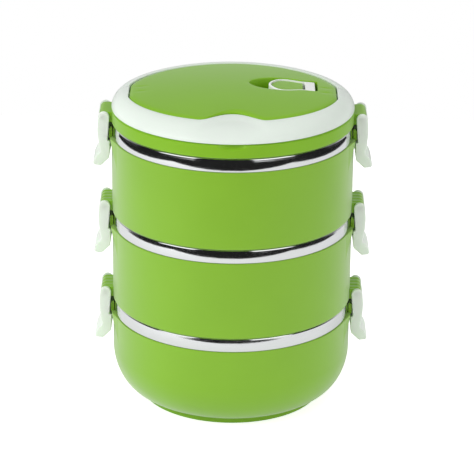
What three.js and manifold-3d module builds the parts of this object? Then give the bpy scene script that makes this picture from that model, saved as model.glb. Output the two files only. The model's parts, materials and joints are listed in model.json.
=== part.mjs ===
// A round lunch carrier of three stacked tiers, in millimetres, with +Z up and the foot on z = 0.
// Each tier is a plastic shell round a steel bowl whose folded rim shows as a bright band.
// Two side latches hang on every tier above the lowest, and on the lid, and hook the tier below.
// The lid has a folding carry handle, a fixed rear trim and a steam vent under a small lever.

import * as THREE from 'three';
import { mergeVertices } from 'three/addons/utils/BufferGeometryUtils.js';
import Module from 'manifold-3d';

const wasm = await Module();
wasm.setup();

// Sizes of the stack
const bodyRadius = 72; // outside of the plastic shells
const bottomTierHeight = 62; // foot to the first joint
const tierPitch = 55.6; // joint to joint
const clearance = 0.3; // between pieces that touch or run on each other

// Plastic shells
const shellWall = 2.4;
const skirtWall = 1.6; // edge that hangs round the seal
const floorThickness = 2;
const cornerRadius = 8; // inside, between wall and floor of an upper tier
const lipInset = 5; // body radius to the outside of the lip that centres a tier in the bowl below
const lipWall = 1.4;
const lipDepth = 5;

// Foot and the curved underside of the lowest shell
const footInset = 17;
const footWidth = 3;
const footHeight = 4.3;
const ledgeWidth = 0.6; // flat step between foot and curve
const curveRise = 25.2;
const curveExponent = 1.9; // 2 would be a quarter ellipse

// Steel bowls
const steelThickness = 0.6;
const bandHeight = 8.5; // steel that shows above each shell
const bandInset = 0.5; // steel band behind the shell's face
const rimRound = 1.3;

// Silicone seals
const sealHeight = 2.1;
const sealInset = 1.9; // body radius to the outside of the seal
const sealChamfer = 0.8;

// Lid
const lidRimHeight = 7.7;
const lidRimChamfer = 0.5;
const deckStep = 0.4; // deck that the handle folds onto, above the rim
const deckThickness = 2;
const domeWall = 2;
const domeRise = 3.4; // how far the crown stands above the dome's edge
const linerThickness = 1.8;
const linerLedge = 5; // width of the ledge over the liner's edge
const scoopHalfWidth = 10.5; // finger scoop under the handle's front edge
const scoopDepth = 1.1;
const scoopHeight = 3.6;
const scoopRise = 0.2; // middle of the scoop above the rim

// White ring that is split into the handle and the rear trim
const ringInset = 0.1;
const ringSeatGap = 0.5; // deck to the ring's low edge
const ringHeight = 8.7;
const ringExponent = 1.7; // fullness of the ring's rounded top
const ringWall = 2.6;
const ringGap = 0.4; // between the ring and the dome inside it
const ringRearInset = 15.6; // body radius to the ring's inner edge, behind
const ringRearExponent = 1.85; // fullness of that edge behind, where 2 makes an ellipse
const ringFlankInset = 10.5; // body radius to that edge's flat flanks
const ringSideInset = 9; // the same for its side semi-axis, which the flanks cut off
const ringFrontInset = 15.7; // the same for the front semi-axis
const tongueReach = 13.3; // finger tongue of the handle, into the dome
const tongueHalfWidth = 17.3;

// Handle pivot
const handlePivotY = 2;
const handlePivotDrop = 4.3; // below the ring's top
const cheekRadius = 6.7;
const cheekInset = 2.8; // body radius to the outside of the cheek
const flangeRadius = 4.1; // part of the ring's thin outer edge that turns with the handle
const bossRadius = 2;
const bossReach = 2.6; // boss from the cheek into the dome wall

// Steam vent
const ventY = 7;
const ventFlankGap = 12.2; // ring flank to the recess's end
const ventGap = 0.5;
const leverLength = 27.5;
const leverHalfWidth = 11.6;
const leverNose = 9.2; // lever's tip to where it is widest
const leverNosePower = 0.6; // 0.5 makes the tip an ellipse, more makes it pointed
const leverHeelHalfWidth = 8.9;
const leverHeelLength = 6.5;
const leverSink = 0.4; // lever's top below the dome's
const inlaySink = 0.7; // inlay's top below the lever's
const leverDepth = 2.1; // dome's edge down to the lever's underside
const heelDepth = 3;
const heelRamp = 2; // length of the step between the two undersides
const trayThickness = 2.2;
const trayRim = 1.2;
const traySlot = 0.7; // dark slot between the inlay and the heel
const ventPivotDrop = 1; // below the dome's edge
const ventPivotBack = 3.2; // pivot to the heel's end
const ventPinRadius = 1;
const recessWall = 1.6;
const recessDepthAtHeel = 4.5; // recess floor below the vent pivot
const recessDepthAtPlug = 2.7; // the same under the lever
const recessRamp = 3; // length of the step between the two floors
const recessRampGap = 1; // that step's low end to the heel
const hollowReach = 11.6; // finger hollow in front of the lever's tip
const hollowPower = 0.57; // bluntness of the hollow's tip
const hollowLip = 1.2; // floor's high end below the dome's crown
const hollowKnee = 1; // floor's bend in front of the lever's tip, and its height over the floor there
const hollowFloorRun = 6; // where the slope ends, behind the lever's tip
const plugBack = 14.2; // pivot to the plug
const plugStemRadius = 2;
const plugFlangeRadius = 3.6;
const plugFlangeHeight = 1;
const plugStemLength = 2;
const plugStubRadius = 1.2;
const plugStubHeight = 1.2;
const steamHoleRadius = 3.1;

// Latches, their lugs and their catches
const pivotStandoff = 4.1; // body radius to the latch pivot
const pivotRise = 3.9; // joint to the latch pivot
const barrelRadius = 2.8;
const lugWidth = 20;
const lugUnderside = 0.4;
const lugRibs = 3; // grooves across the lugs of the tiers
const lugGrooveWidth = 1.2;
const lugGrooveDepth = 0.8;
const latchPinRadius = 1.2;
const pinEngagement = 1.2; // pin into each ear
const earRim = 0.6; // ear's radius over the barrel's
const earWall = 1.9;
const latchDrop = 25.9; // joint to the latch's lower end
const latchSkin = 2.3;
const latchFront = [[0.5, 0.15], [-0.2, 0.46], [-1, 0.66], [1.5, 0.76], [3.3, 0.93]];
// [out from the ear, share of the drop] along the latch's front
const tabLip = 0.7; // how far the finger tab's tip turns back in
const tabEdge = 0.4; // height of that tip
const tabToe = 1.9; // pivot out to the tab's lowest inner corner
const tabBevel = 0.6;
const tabKnee = 4.6; // lower end to the bevel's start
const tabHeel = 8; // lower end to the bevel's end
const tabWall = 3.1; // thickness of the tab's front
const tabHollowLow = 6; // lower end to the hollow behind the tab
const barrelGap = 0.35; // latch skin round the barrel
const skinTopDrop = 1.2; // top of the skin below the pivot
const hookStandoff = 0.5; // body radius to the hook's nose
const hookGap = 0.6; // catch to hook
const hookSlope = 0.5;
const hookHeight = 4.4;
const catchTop = 2.5; // below the joint
const catchBottom = 10.2;
const catchSlope = 1;
const catchStandoff = 1.4;
const catchSideGap = 0.5; // catch to each ear
const rootOverlap = 0.8; // how deep lugs and catches run into the wall
const fairingStandoff = 0.2;
const fairingDrop = 24; // below the joint
const fairingHalfWidth = 23;
const fairingFlat = 14; // half width of its flat middle

// Facets
const turns = 36;
const ringSteps = 72;
const curveSteps = 4;
const cornerSteps = 3;
const underCurveSteps = 6;
const ringCurveSteps = 4;
const domeSteps = 4;
const pinSides = 12;
const scoopSides = [20, 12];
const noseStations = [1, 0.97, 0.87, 0.66, 0.35, 0]; // shares of the nose, from its tip
const waistStations = [0.35, 0.65, 1]; // shares of the way from there to the heel
const hollowSteps = 7;
const beyond = 10; // how far a cutting solid reaches past what it cuts

const jointHeights = [0, 1, 2].map((i) => bottomTierHeight + i * tierPitch);
const shellInner = bodyRadius - shellWall;
const bowlOuter = shellInner - clearance;
const bowlInner = bowlOuter - steelThickness;
const bandRadius = bodyRadius - bandInset;
const foldInner = bandRadius - steelThickness;
const neckOuter = foldInner - clearance;
const lipOuter = bodyRadius - lipInset;
const lipInner = lipOuter - lipWall;
const roofRise = sealHeight + clearance;
const pivotX = bodyRadius + pivotStandoff;
const latchInside = lugWidth / 2 + clearance; // half the room between the ears
const latchHalf = latchInside + earWall;
const earRadius = barrelRadius + earRim;
const catchHalf = latchInside - catchSideGap;
const hookTop = catchBottom + hookGap;

// Heights above the lid's joint
const deckHeight = lidRimHeight + deckStep;
const ringLowEdge = deckHeight + ringSeatGap;
const ringTopEdge = ringLowEdge + ringHeight;
const domeEdge = ringTopEdge;
const aboveDome = domeEdge + domeRise + beyond;
const handlePivotRise = ringTopEdge - handlePivotDrop;
const leverUnderside = domeEdge - leverDepth;
const heelUnderside = domeEdge - heelDepth;
const trayFloor = leverUnderside + trayThickness;
const ventPivotRise = domeEdge - ventPivotDrop;

// Drops doubled points and the flat triangles they leave, then makes a solid that faces outwards.
function toSolid(geometry) {
  const bare = geometry.clone();
  bare.deleteAttribute('normal');
  bare.deleteAttribute('uv');
  const welded = mergeVertices(bare, 1e-4);
  const corners = welded.attributes.position.array;
  const index = welded.index.array;
  const triangles = [];
  let volume = 0;
  for (let i = 0; i < index.length; i += 3) {
    const [a, b, c] = index.slice(i, i + 3);
    if (a === b || b === c || c === a) continue;
    triangles.push(a, b, c);
    const [p, q, r] = [a, b, c].map((k) => new THREE.Vector3().fromArray(corners, 3 * k));
    volume += p.dot(q.cross(r));
  }
  if (volume < 0) triangles.reverse();
  return new wasm.Manifold(
    new wasm.Mesh({
      numProp: 3,
      vertProperties: Float32Array.from(corners),
      triVerts: Uint32Array.from(triangles),
    }),
  );
}

function toGeometry(solid) {
  const mesh = solid.getMesh();
  const geometry = new THREE.BufferGeometry();
  geometry.setAttribute('position', new THREE.BufferAttribute(mesh.vertProperties, 3));
  geometry.setIndex(new THREE.BufferAttribute(mesh.triVerts, 1));
  geometry.computeVertexNormals();
  return geometry;
}

// A profile of [radius, height] points turned about the Z axis.
function turned(profile, sides = turns) {
  const points = profile.map(([r, z]) => new THREE.Vector2(r, z));
  if (profile[0][0] > 0) points.push(points[0].clone());
  return toSolid(new THREE.LatheGeometry(points, sides).rotateX(Math.PI / 2));
}

function disc(radius, low, high, sides = turns) {
  return turned([[0, low], [radius, low], [radius, high], [0, high]], sides);
}

function box(low, high) {
  const size = high.map((v, i) => v - low[i]);
  const middle = high.map((v, i) => (v + low[i]) / 2);
  return toSolid(new THREE.BoxGeometry(...size).translate(...middle));
}

// A round bar along X or Y between two ends.
function bar(axis, radius, start, end, centre) {
  const geometry = new THREE.CylinderGeometry(radius, radius, end - start, pinSides);
  const middle = (start + end) / 2;
  if (axis === 'x') geometry.rotateZ(Math.PI / 2).translate(middle, centre[0], centre[1]);
  else geometry.translate(centre[0], middle, centre[1]);
  return toSolid(geometry);
}

function shapeOf(points) {
  return new THREE.Shape(points.map(([x, y]) => new THREE.Vector2(x, y)));
}

// A plan outline raised between two heights.
function raised(shape, low, high) {
  const options = { depth: high - low, bevelEnabled: false, curveSegments: curveSteps };
  return toSolid(new THREE.ExtrudeGeometry(shape, options).translate(0, 0, low));
}

// A side outline in X and Z, carried along Y between two ends.
function acrossY(shape, low, high) {
  const options = { depth: high - low, bevelEnabled: false, curveSegments: curveSteps };
  const geometry = new THREE.ExtrudeGeometry(shape, options).rotateX(Math.PI / 2);
  return toSolid(geometry.translate(0, high, 0));
}

function union(...solids) {
  return solids.reduce((all, next) => all.add(next));
}

function mirroredX(solid) {
  return solid.mirror([1, 0, 0]);
}

// Points of a quarter superellipse from the wall at (outer, high) down to the floor at (inner, low).
function wallToFloor(outer, high, inner, low, exponent = 2, steps = cornerSteps) {
  const points = [];
  for (let i = 0; i <= steps; i += 1) {
    const angle = (i / steps) * (Math.PI / 2);
    const across = Math.cos(angle) ** (2 / exponent);
    const down = Math.sin(angle) ** (2 / exponent);
    points.push([inner + (outer - inner) * across, high - (high - low) * down]);
  }
  return points;
}

const footRadius = bodyRadius - footInset;
const curveInner = footRadius + ledgeWidth;
const curveTop = footHeight + curveRise;
const bottomFloor = footHeight + floorThickness;

// The curved underside as it continues inside the shell and in the bowl.
function underCurve(radius, low) {
  return wallToFloor(radius, curveTop, curveInner, low, curveExponent, curveSteps);
}

// Inside of a shell: the neck's top, the wall, the rounded corner and the floor.
function shellInside(top, corner) {
  const neckTop = top - clearance - rimRound - clearance;
  return [
    [bodyRadius, top - bandHeight],
    [neckOuter, top - bandHeight],
    [neckOuter, neckTop],
    [shellInner, neckTop],
    ...corner,
    [0, corner.at(-1)[1]],
  ];
}

function bottomShellProfile() {
  const outside = wallToFloor(
    bodyRadius,
    curveTop,
    curveInner,
    footHeight,
    curveExponent,
    underCurveSteps,
  );
  const corner = underCurve(shellInner, bottomFloor);
  return [
    [0, footHeight],
    [footRadius - footWidth, footHeight],
    [footRadius - footWidth, 0],
    [footRadius, 0],
    [footRadius, footHeight],
    ...outside.reverse(),
    ...shellInside(jointHeights[0], corner),
  ];
}

function upperShellProfile(base) {
  const roof = base + roofRise;
  const floor = roof + floorThickness;
  const corner = wallToFloor(shellInner, floor + cornerRadius, shellInner - cornerRadius, floor);
  return [
    [0, roof],
    [lipInner, roof],
    [lipInner, base - lipDepth],
    [lipOuter, base - lipDepth],
    [lipOuter, roof],
    [bodyRadius - skirtWall, roof],
    [bodyRadius - skirtWall, base],
    [bodyRadius, base],
    ...shellInside(base + tierPitch, corner),
  ];
}

// The bowl's sheet runs up the wall, over the rounded rim and down outside as the band.
function bowl(outerCorner, innerCorner, top) {
  const rimTop = top - clearance;
  const low = top - bandHeight + clearance;
  const round = (outer, drop) => outer - rimRound * (1 - Math.SQRT1_2) - drop;
  return turned([
    [0, outerCorner.at(-1)[1]],
    ...outerCorner.reverse(),
    [bowlOuter, rimTop - rimRound],
    [bowlOuter + steelThickness, rimTop - steelThickness],
    [foldInner - steelThickness, rimTop - steelThickness],
    [foldInner, rimTop - rimRound],
    [foldInner, low],
    [bandRadius, low],
    [bandRadius, rimTop - rimRound],
    [round(bandRadius, 0), round(rimTop, 0)],
    [bandRadius - rimRound, rimTop],
    [bowlInner + steelThickness, rimTop],
    [bowlInner, rimTop - steelThickness],
    ...innerCorner,
    [0, innerCorner.at(-1)[1]],
  ]);
}

function bottomBowl() {
  const floor = bottomFloor + clearance;
  const inside = underCurve(bowlInner, floor + steelThickness);
  return bowl(underCurve(bowlOuter, floor), inside, jointHeights[0]);
}

function upperBowl(base) {
  const floor = base + roofRise + floorThickness + clearance;
  const centre = floor - clearance + cornerRadius;
  const inner = shellInner - cornerRadius;
  const corner = (radius, low) => wallToFloor(radius, centre, inner, low);
  return bowl(corner(bowlOuter, floor), corner(bowlInner, floor + steelThickness), base + tierPitch);
}

function seal(base) {
  const outer = bodyRadius - sealInset;
  const inner = lipOuter + clearance;
  return turned([
    [inner, base + sealHeight],
    [inner, base + sealChamfer],
    [inner + sealChamfer, base],
    [outer, base],
    [outer, base + sealHeight],
  ]);
}

// The body-side filler that lugs and catches are cut back from, so they only root in the wall.
function wallCore(low, step, high) {
  const rooted = bodyRadius - rootOverlap;
  const clear = bandRadius + clearance;
  return turned([[0, low], [rooted, low], [rooted, step], [clear, step], [clear, high], [0, high]]);
}

// The lug that a latch hangs on, on the +X side: a barrel on a neck, bored for the pin.
function lug(base, grooved) {
  const centre = base + pivotRise;
  const shape = new THREE.Shape();
  shape.moveTo(0, base + lugUnderside);
  shape.lineTo(pivotX - barrelRadius, base + lugUnderside);
  shape.absarc(pivotX, centre, barrelRadius, -Math.PI / 2, Math.PI / 2, false);
  shape.lineTo(0, centre + barrelRadius);
  const half = lugWidth / 2;
  const bore = bar('y', latchPinRadius + clearance, -lugWidth, lugWidth, [pivotX, centre]);
  const top = centre + barrelRadius;
  let solid = acrossY(shape, -half, half);
  solid = solid.subtract(wallCore(base, top, top + beyond)).subtract(bore);
  for (let i = 1; grooved && i <= lugRibs; i += 1) {
    const y = -half + (i * lugWidth) / (lugRibs + 1);
    const low = [bodyRadius + lugGrooveDepth, y - lugGrooveWidth / 2, top - lugGrooveDepth];
    const high = [pivotX + beyond, y + lugGrooveWidth / 2, top + beyond];
    solid = solid.subtract(box(low, high));
  }
  return solid;
}

// The ledge that a latch hooks, and the fairing that carries it on the wall, on the +X side.
function catchAndFairing(top) {
  const outer = bodyRadius + catchStandoff;
  const ledge = shapeOf([
    [0, top - catchBottom],
    [bodyRadius, top - catchBottom],
    [outer, top - catchBottom + catchSlope],
    [outer, top - catchTop - catchSlope],
    [outer - catchSlope, top - catchTop],
    [0, top - catchTop],
  ]);
  const face = bodyRadius + fairingStandoff;
  const foot = Math.sqrt(bodyRadius ** 2 - fairingHalfWidth ** 2);
  const side = shapeOf([
    [0, top - fairingDrop],
    [foot, top - fairingDrop],
    [face, top - catchBottom],
    [face, top - bandHeight],
    [0, top - bandHeight],
  ]);
  const plan = shapeOf([
    [0, -fairingHalfWidth],
    [foot, -fairingHalfWidth],
    [face, -fairingFlat],
    [face, fairingFlat],
    [foot, fairingHalfWidth],
    [0, fairingHalfWidth],
  ]);
  const fairing = acrossY(side, -fairingHalfWidth, fairingHalfWidth)
    .intersect(raised(plan, top - fairingDrop, top - bandHeight));
  return union(acrossY(ledge, -catchHalf, catchHalf), fairing)
    .subtract(wallCore(top - fairingDrop - beyond, top - bandHeight, top));
}

function bothSides(solid) {
  return union(solid, mirroredX(solid));
}

function bottomShell() {
  return union(turned(bottomShellProfile()), bothSides(catchAndFairing(jointHeights[0])));
}

function upperShell(base) {
  const fittings = union(catchAndFairing(base + tierPitch), lug(base, true));
  return union(turned(upperShellProfile(base)), bothSides(fittings));
}

// Side outline of a latch, for a joint at height 0.
function latchOutline() {
  const shape = new THREE.Shape();
  const inner = bodyRadius + hookStandoff;
  shape.moveTo(pivotX - earRadius, pivotRise);
  shape.absarc(pivotX, pivotRise, earRadius, Math.PI, 0, true);
  const front = latchFront.map(([out, share]) => [pivotX + earRadius + out, -share * latchDrop]);
  shape.splineThru(front.map(([x, z]) => new THREE.Vector2(x, z)));
  shape.lineTo(front.at(-1)[0] - tabLip, tabEdge - latchDrop);
  shape.lineTo(pivotX + tabToe, -latchDrop);
  shape.lineTo(inner + tabBevel, tabKnee - latchDrop);
  shape.lineTo(inner, tabHeel - latchDrop);
  shape.lineTo(inner, -hookTop);
  shape.lineTo(inner + catchStandoff, hookSlope - hookTop);
  return shape;
}

// A latch on the +X side for a joint at height 0: two ears, an outer skin, a hook bar and a finger tab.
function latch() {
  const inside = latchInside;
  const inner = bodyRadius + hookStandoff;
  const skinInner = pivotX + earRadius - latchSkin;
  const centre = [pivotX, pivotRise];
  const bore = latchPinRadius + clearance;
  const reach = lugWidth / 2 + pinEngagement + clearance;
  const [above, far] = [pivotRise + beyond, pivotX + beyond];
  const hookRoom = shapeOf([
    [0, -hookTop],
    [inner, -hookTop],
    [skinInner, hookSlope - hookTop],
    [skinInner, 0],
    [pivotX, 0],
    [pivotX, above],
    [0, above],
  ]);
  const tabHollow = [skinInner + latchSkin - tabWall, inside, -hookTop - hookHeight];
  const cuts = [
    bar('y', barrelRadius + barrelGap, -inside, inside, centre),
    box([pivotX, -inside, pivotRise - skinTopDrop], [far, inside, above]),
    box([0, -inside, tabHollowLow - latchDrop], tabHollow),
    bar('y', bore, -reach, reach, centre),
    acrossY(hookRoom, -inside, inside),
  ];
  const whole = acrossY(latchOutline(), -latchHalf, latchHalf);
  return cuts.reduce((solid, cut) => solid.subtract(cut), whole);
}

function latchPin() {
  const end = lugWidth / 2 + pinEngagement;
  return bar('y', latchPinRadius, -end, end, [pivotX, pivotRise]);
}

const ringOuter = bodyRadius - ringInset;
const flankX = bodyRadius - ringFlankInset;
const ringSide = bodyRadius - ringSideInset;
const ringFront = bodyRadius - ringFrontInset;
const ringRear = bodyRadius - ringRearInset;

// The ring's inner edge: half an ellipse with a tongue in front, half a superellipse behind, and
// flat flanks that cut both off.
function ringInner(angle) {
  const [c, s] = [Math.abs(Math.cos(angle)), Math.abs(Math.sin(angle))];
  const behind = Math.sin(angle) > 0;
  const [end, power] = behind ? [ringRear, ringRearExponent] : [ringFront, 2];
  const rounded = ((c / ringSide) ** power + (s / end) ** power) ** (-1 / power);
  const radius = Math.min(rounded, flankX / Math.max(c, 1e-9));
  const x = radius * c;
  if (behind || x > tongueHalfWidth) return radius;
  return radius - tongueReach * (1 - (x / tongueHalfWidth) ** 2);
}

// Points over the ring's rounded top or its underside, from the inner edge to the outer one.
function ringCurve(inner, outer, low, high) {
  const points = [];
  for (let i = 0; i <= ringCurveSteps; i += 1) {
    const angle = (i / ringCurveSteps) * (Math.PI / 2);
    const across = Math.sin(angle) ** (2 / ringExponent);
    const up = Math.cos(angle) ** (2 / ringExponent);
    points.push([inner + (outer - inner) * across, low + (high - low) * up]);
  }
  return points;
}

// A section of [radius, height] points that changes with the angle, carried round the Z axis.
function carriedRound(section) {
  const positions = [];
  const index = [];
  let count = 0;
  for (let i = 0; i < ringSteps; i += 1) {
    const angle = (i / ringSteps) * 2 * Math.PI;
    const points = section(angle);
    count = points.length;
    points.forEach(([r, z]) => positions.push(r * Math.cos(angle), r * Math.sin(angle), z));
  }
  for (let i = 0; i < ringSteps; i += 1) {
    const next = (i + 1) % ringSteps;
    for (let k = 0; k < count; k += 1) {
      const after = (k + 1) % count;
      const [a, b] = [i * count + k, i * count + after];
      const [c, d] = [next * count + k, next * count + after];
      index.push(a, c, b, b, c, d);
    }
  }
  const geometry = new THREE.BufferGeometry();
  geometry.setAttribute('position', new THREE.Float32BufferAttribute(positions, 3));
  geometry.setIndex(index);
  return toSolid(geometry);
}

function ringShell(base) {
  const [low, high] = [base + ringLowEdge, base + ringTopEdge];
  return carriedRound((angle) => {
    const inner = ringInner(angle);
    const under = ringCurve(inner, ringOuter - ringWall, low, high - ringWall);
    return [...ringCurve(inner, ringOuter, low, high), ...under.reverse()];
  });
}

// The same ring filled down to the bottom of the handle's cheeks.
function ringFilled(base) {
  const [low, high] = [base + ringLowEdge, base + ringTopEdge];
  const bottom = base + handlePivotRise - cheekRadius - clearance;
  return carriedRound((angle) => {
    const inner = ringInner(angle);
    return [...ringCurve(inner, ringOuter, low, high), [ringOuter, bottom], [inner, bottom]];
  });
}

// What turns with the handle: all in front of the pivot, the round cheeks and a bit of the thin edge.
function handleSpace(base, grown) {
  const centre = [handlePivotY, base + handlePivotRise];
  const cheek = bodyRadius - cheekInset + grown;
  const far = bodyRadius + beyond;
  return union(
    box([-far, -far, base], [far, handlePivotY + grown, base + aboveDome]),
    bar('x', cheekRadius + grown, -cheek, cheek, centre),
    bar('x', flangeRadius + grown, -far, far, centre),
  );
}

function handleBoss(base, grown) {
  const start = flankX - bossReach - grown;
  const centre = [handlePivotY, base + handlePivotRise];
  return bothSides(bar('x', bossRadius + grown, start, flankX + ringGap, centre));
}

function cheekDiscs(base, grown, inner) {
  const centre = [handlePivotY, base + handlePivotRise];
  const outer = bodyRadius - cheekInset + grown;
  return bothSides(bar('x', cheekRadius + grown, inner, outer, centre));
}

function carryHandle(base) {
  const ring = ringShell(base).intersect(handleSpace(base, 0));
  const cheeks = ringFilled(base).intersect(cheekDiscs(base, 0, flankX));
  return union(ring, cheeks, handleBoss(base, 0));
}

function rearTrim(base) {
  return ringShell(base).subtract(handleSpace(base, clearance));
}

// Space under the dome's curved top, lowered by a wall thickness for its inside. The top is a
// paraboloid drawn in from front to back, so that its edge is as high behind as at the sides.
function underDome(base, lowered) {
  const profile = [[0, base]];
  for (let i = domeSteps; i >= 0; i -= 1) {
    const radius = (i / domeSteps) * bodyRadius;
    const height = domeEdge + domeRise * (1 - (radius / ringSide) ** 2);
    if (i === domeSteps) profile.push([radius, base]);
    profile.push([radius, base + height - lowered]);
  }
  return turned(profile).scale([1, ringRear / ringSide, 1]);
}

function domePlan(inset) {
  const points = [];
  for (let i = 0; i < ringSteps; i += 1) {
    const angle = (i / ringSteps) * 2 * Math.PI;
    const radius = ringInner(angle) - inset;
    points.push([radius * Math.cos(angle), radius * Math.sin(angle)]);
  }
  return shapeOf(points);
}

const recessEnd = flankX - ventFlankGap;
const heelSwing = Math.hypot(ventPivotBack, ventPivotRise - heelUnderside);
const ventPivotX = recessEnd - heelSwing - clearance;
const heelEnd = ventPivotX + ventPivotBack;
const leverTip = heelEnd - leverLength;
const heelStart = heelEnd - leverHeelLength;

// Plan of the lever, grown all round: a rounded nose that narrows again to a straight heel.
function leverPlan(grown, end) {
  const widest = leverTip + leverNose;
  const side = noseStations.map((u) => [
    widest - u * (leverNose + grown),
    (leverHalfWidth + grown) * (1 - u ** 2) ** leverNosePower,
  ]);
  for (const t of waistStations) {
    const extra = (leverHalfWidth - leverHeelHalfWidth) * (0.5 + 0.5 * Math.cos(Math.PI * t));
    const x = widest + t * (heelStart - widest);
    if (x < end) side.push([x, leverHeelHalfWidth + extra + grown]);
  }
  side.push([end, leverHeelHalfWidth + grown]);
  return mirroredPlan(side);
}

// A side of a plan and its mirror image about the vent's axis.
function mirroredPlan(side) {
  const near = side.map(([x, y]) => [x, ventY - y]);
  const far = side.slice(1).map(([x, y]) => [x, ventY + y]);
  return shapeOf([...near, ...far.reverse()]);
}

// Plan of the finger hollow: from a blunt tip to the lever's widest place.
function hollowPlan(grown) {
  const start = leverTip - hollowReach - grown;
  const end = leverTip + leverNose;
  const half = leverHalfWidth + ventGap + grown;
  const side = [];
  for (let i = 0; i <= hollowSteps; i += 1) {
    const t = (i / hollowSteps) ** 2;
    side.push([start + t * (end - start), half * Math.sin((Math.PI / 2) * t ** hollowPower)]);
  }
  return mirroredPlan(side);
}

// The vent recess, or the block round it when grown by its wall.
function ventRecess(base, grown) {
  const high = base + aboveDome;
  const heelFloor = base + ventPivotRise - recessDepthAtHeel - grown;
  const plugFloor = base + ventPivotRise - recessDepthAtPlug - grown;
  const start = leverTip - hollowReach - 2 * grown;
  const side = shapeOf([
    [start, high],
    [start, base + domeEdge + domeRise - hollowLip],
    [leverTip - hollowKnee, plugFloor + hollowKnee],
    [leverTip + hollowFloorRun, plugFloor],
    [heelStart - recessRampGap - recessRamp, plugFloor],
    [heelStart - recessRampGap, heelFloor],
    [recessEnd + grown, heelFloor],
    [recessEnd + grown, high],
  ]);
  const plan = union(
    raised(leverPlan(ventGap + grown, recessEnd + grown), base, high),
    raised(hollowPlan(grown), base, high),
  );
  return plan.intersect(acrossY(side, -bodyRadius, bodyRadius));
}

// The lid's rim, the lip that centres it and the deck inside, up to under the dome.
function lidRim(base) {
  const roof = base + roofRise;
  const ledge = lipInner - linerLedge;
  const deck = base + deckHeight;
  const rim = base + lidRimHeight;
  const inner = bodyRadius - ringFrontInset - tongueReach - 3 * domeWall;
  return turned([
    [lipInner, base - lipDepth],
    [lipOuter, base - lipDepth],
    [lipOuter, roof],
    [bodyRadius - skirtWall, roof],
    [bodyRadius - skirtWall, base],
    [bodyRadius, base],
    [bodyRadius, rim - lidRimChamfer],
    [bodyRadius - lidRimChamfer, rim],
    [bodyRadius - 2 * lidRimChamfer, deck],
    [inner, deck],
    [inner, deck - deckThickness],
    [ledge, deck - deckThickness],
    [ledge, roof + clearance],
    [lipInner, roof + clearance],
  ]);
}

function fingerScoop(base) {
  const [across, around] = scoopSides;
  return toSolid(new THREE.SphereGeometry(1, across, around)
    .scale(scoopHalfWidth, 2 * scoopDepth, scoopHeight)
    .translate(0, -bodyRadius - scoopDepth, base + lidRimHeight + scoopRise));
}

// A bar along the vent's pivot, to a given half length.
function ventAxle(base, radius, half) {
  return bar('y', radius, ventY - half, ventY + half, [ventPivotX, base + ventPivotRise]);
}

function steamHole(base) {
  return disc(steamHoleRadius, base, base + aboveDome, pinSides)
    .translate([ventPivotX - plugBack, ventY, 0]);
}

function lidShell(base) {
  const high = base + aboveDome;
  const dome = raised(domePlan(ringGap), base + deckHeight - deckThickness / 2, high)
    .intersect(underDome(base, 0));
  const hollow = raised(domePlan(ringGap + domeWall), base + roofRise, high)
    .intersect(underDome(base, domeWall));
  const recessBlock = ventRecess(base, recessWall).intersect(underDome(base, 0));
  const borePast = leverHeelHalfWidth + ventGap + 2 * recessWall;
  return union(lidRim(base), dome)
    .subtract(hollow)
    .add(recessBlock)
    .subtract(ventRecess(base, 0))
    .subtract(ventAxle(base, ventPinRadius + clearance, borePast))
    .subtract(steamHole(base))
    .subtract(cheekDiscs(base, ringGap, flankX - ringGap))
    .subtract(handleBoss(base, clearance))
    .subtract(fingerScoop(base))
    .add(bothSides(lug(base, false)));
}

function lidLiner(base) {
  const top = base + roofRise;
  return disc(lipInner - clearance, top - linerThickness, top).subtract(steamHole(base));
}

function ventLever(base) {
  const high = base + aboveDome;
  const start = leverTip - ventGap;
  const sides = shapeOf([
    [start, base + leverUnderside],
    [heelStart - heelRamp, base + leverUnderside],
    [heelStart, base + heelUnderside],
    [heelEnd, base + heelUnderside],
    [heelEnd, high],
    [start, high],
  ]);
  const body = raised(leverPlan(0, heelEnd), base, high)
    .intersect(acrossY(sides, -bodyRadius, bodyRadius))
    .intersect(underDome(base, leverSink));
  const tray = raised(leverPlan(-trayRim, heelStart), base + trayFloor, high);
  const socketTop = base + leverUnderside + plugStubHeight;
  const socket = disc(plugStubRadius + clearance, base, socketTop, pinSides)
    .translate([ventPivotX - plugBack, ventY, 0]);
  return body
    .subtract(tray)
    .subtract(ventAxle(base, ventPinRadius + clearance, 2 * leverHalfWidth))
    .subtract(socket);
}

function ventInlay(base) {
  const high = base + aboveDome;
  const plan = leverPlan(-trayRim - clearance, heelStart - traySlot);
  return raised(plan, base + trayFloor + clearance, high)
    .intersect(underDome(base, leverSink + inlaySink));
}

function ventPlug(base) {
  const top = base + leverUnderside - clearance;
  const flange = top - plugFlangeHeight;
  return turned([
    [0, flange - plugStemLength],
    [plugStemRadius, flange - plugStemLength],
    [plugStemRadius, flange],
    [plugFlangeRadius, flange],
    [plugFlangeRadius, top],
    [plugStubRadius, top],
    [plugStubRadius, top + plugStubHeight],
    [0, top + plugStubHeight],
  ], pinSides).translate([ventPivotX - plugBack, ventY, 0]);
}

function ventPin(base) {
  return ventAxle(base, ventPinRadius, leverHeelHalfWidth + ventGap + recessWall - clearance);
}

const finishes = {
  green: { color: 0x88b540, roughness: 0.45, metalness: 0 },
  dome: { color: 0x86b34a, roughness: 0.5, metalness: 0 },
  white: { color: 0xe5ede6, roughness: 0.4, metalness: 0 },
  mint: { color: 0xd4e4d2, roughness: 0.4, metalness: 0 },
  steel: { color: 0xc8cacb, roughness: 0.12, metalness: 1 },
  silicone: { color: 0xe9efe9, roughness: 0.7, metalness: 0 },
};

const carrier = new THREE.Group();

function place(parent, name, solid, finish) {
  const material = new THREE.MeshStandardMaterial(finishes[finish]);
  const mesh = new THREE.Mesh(toGeometry(solid), material);
  mesh.name = name;
  parent.add(mesh);
}

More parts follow.
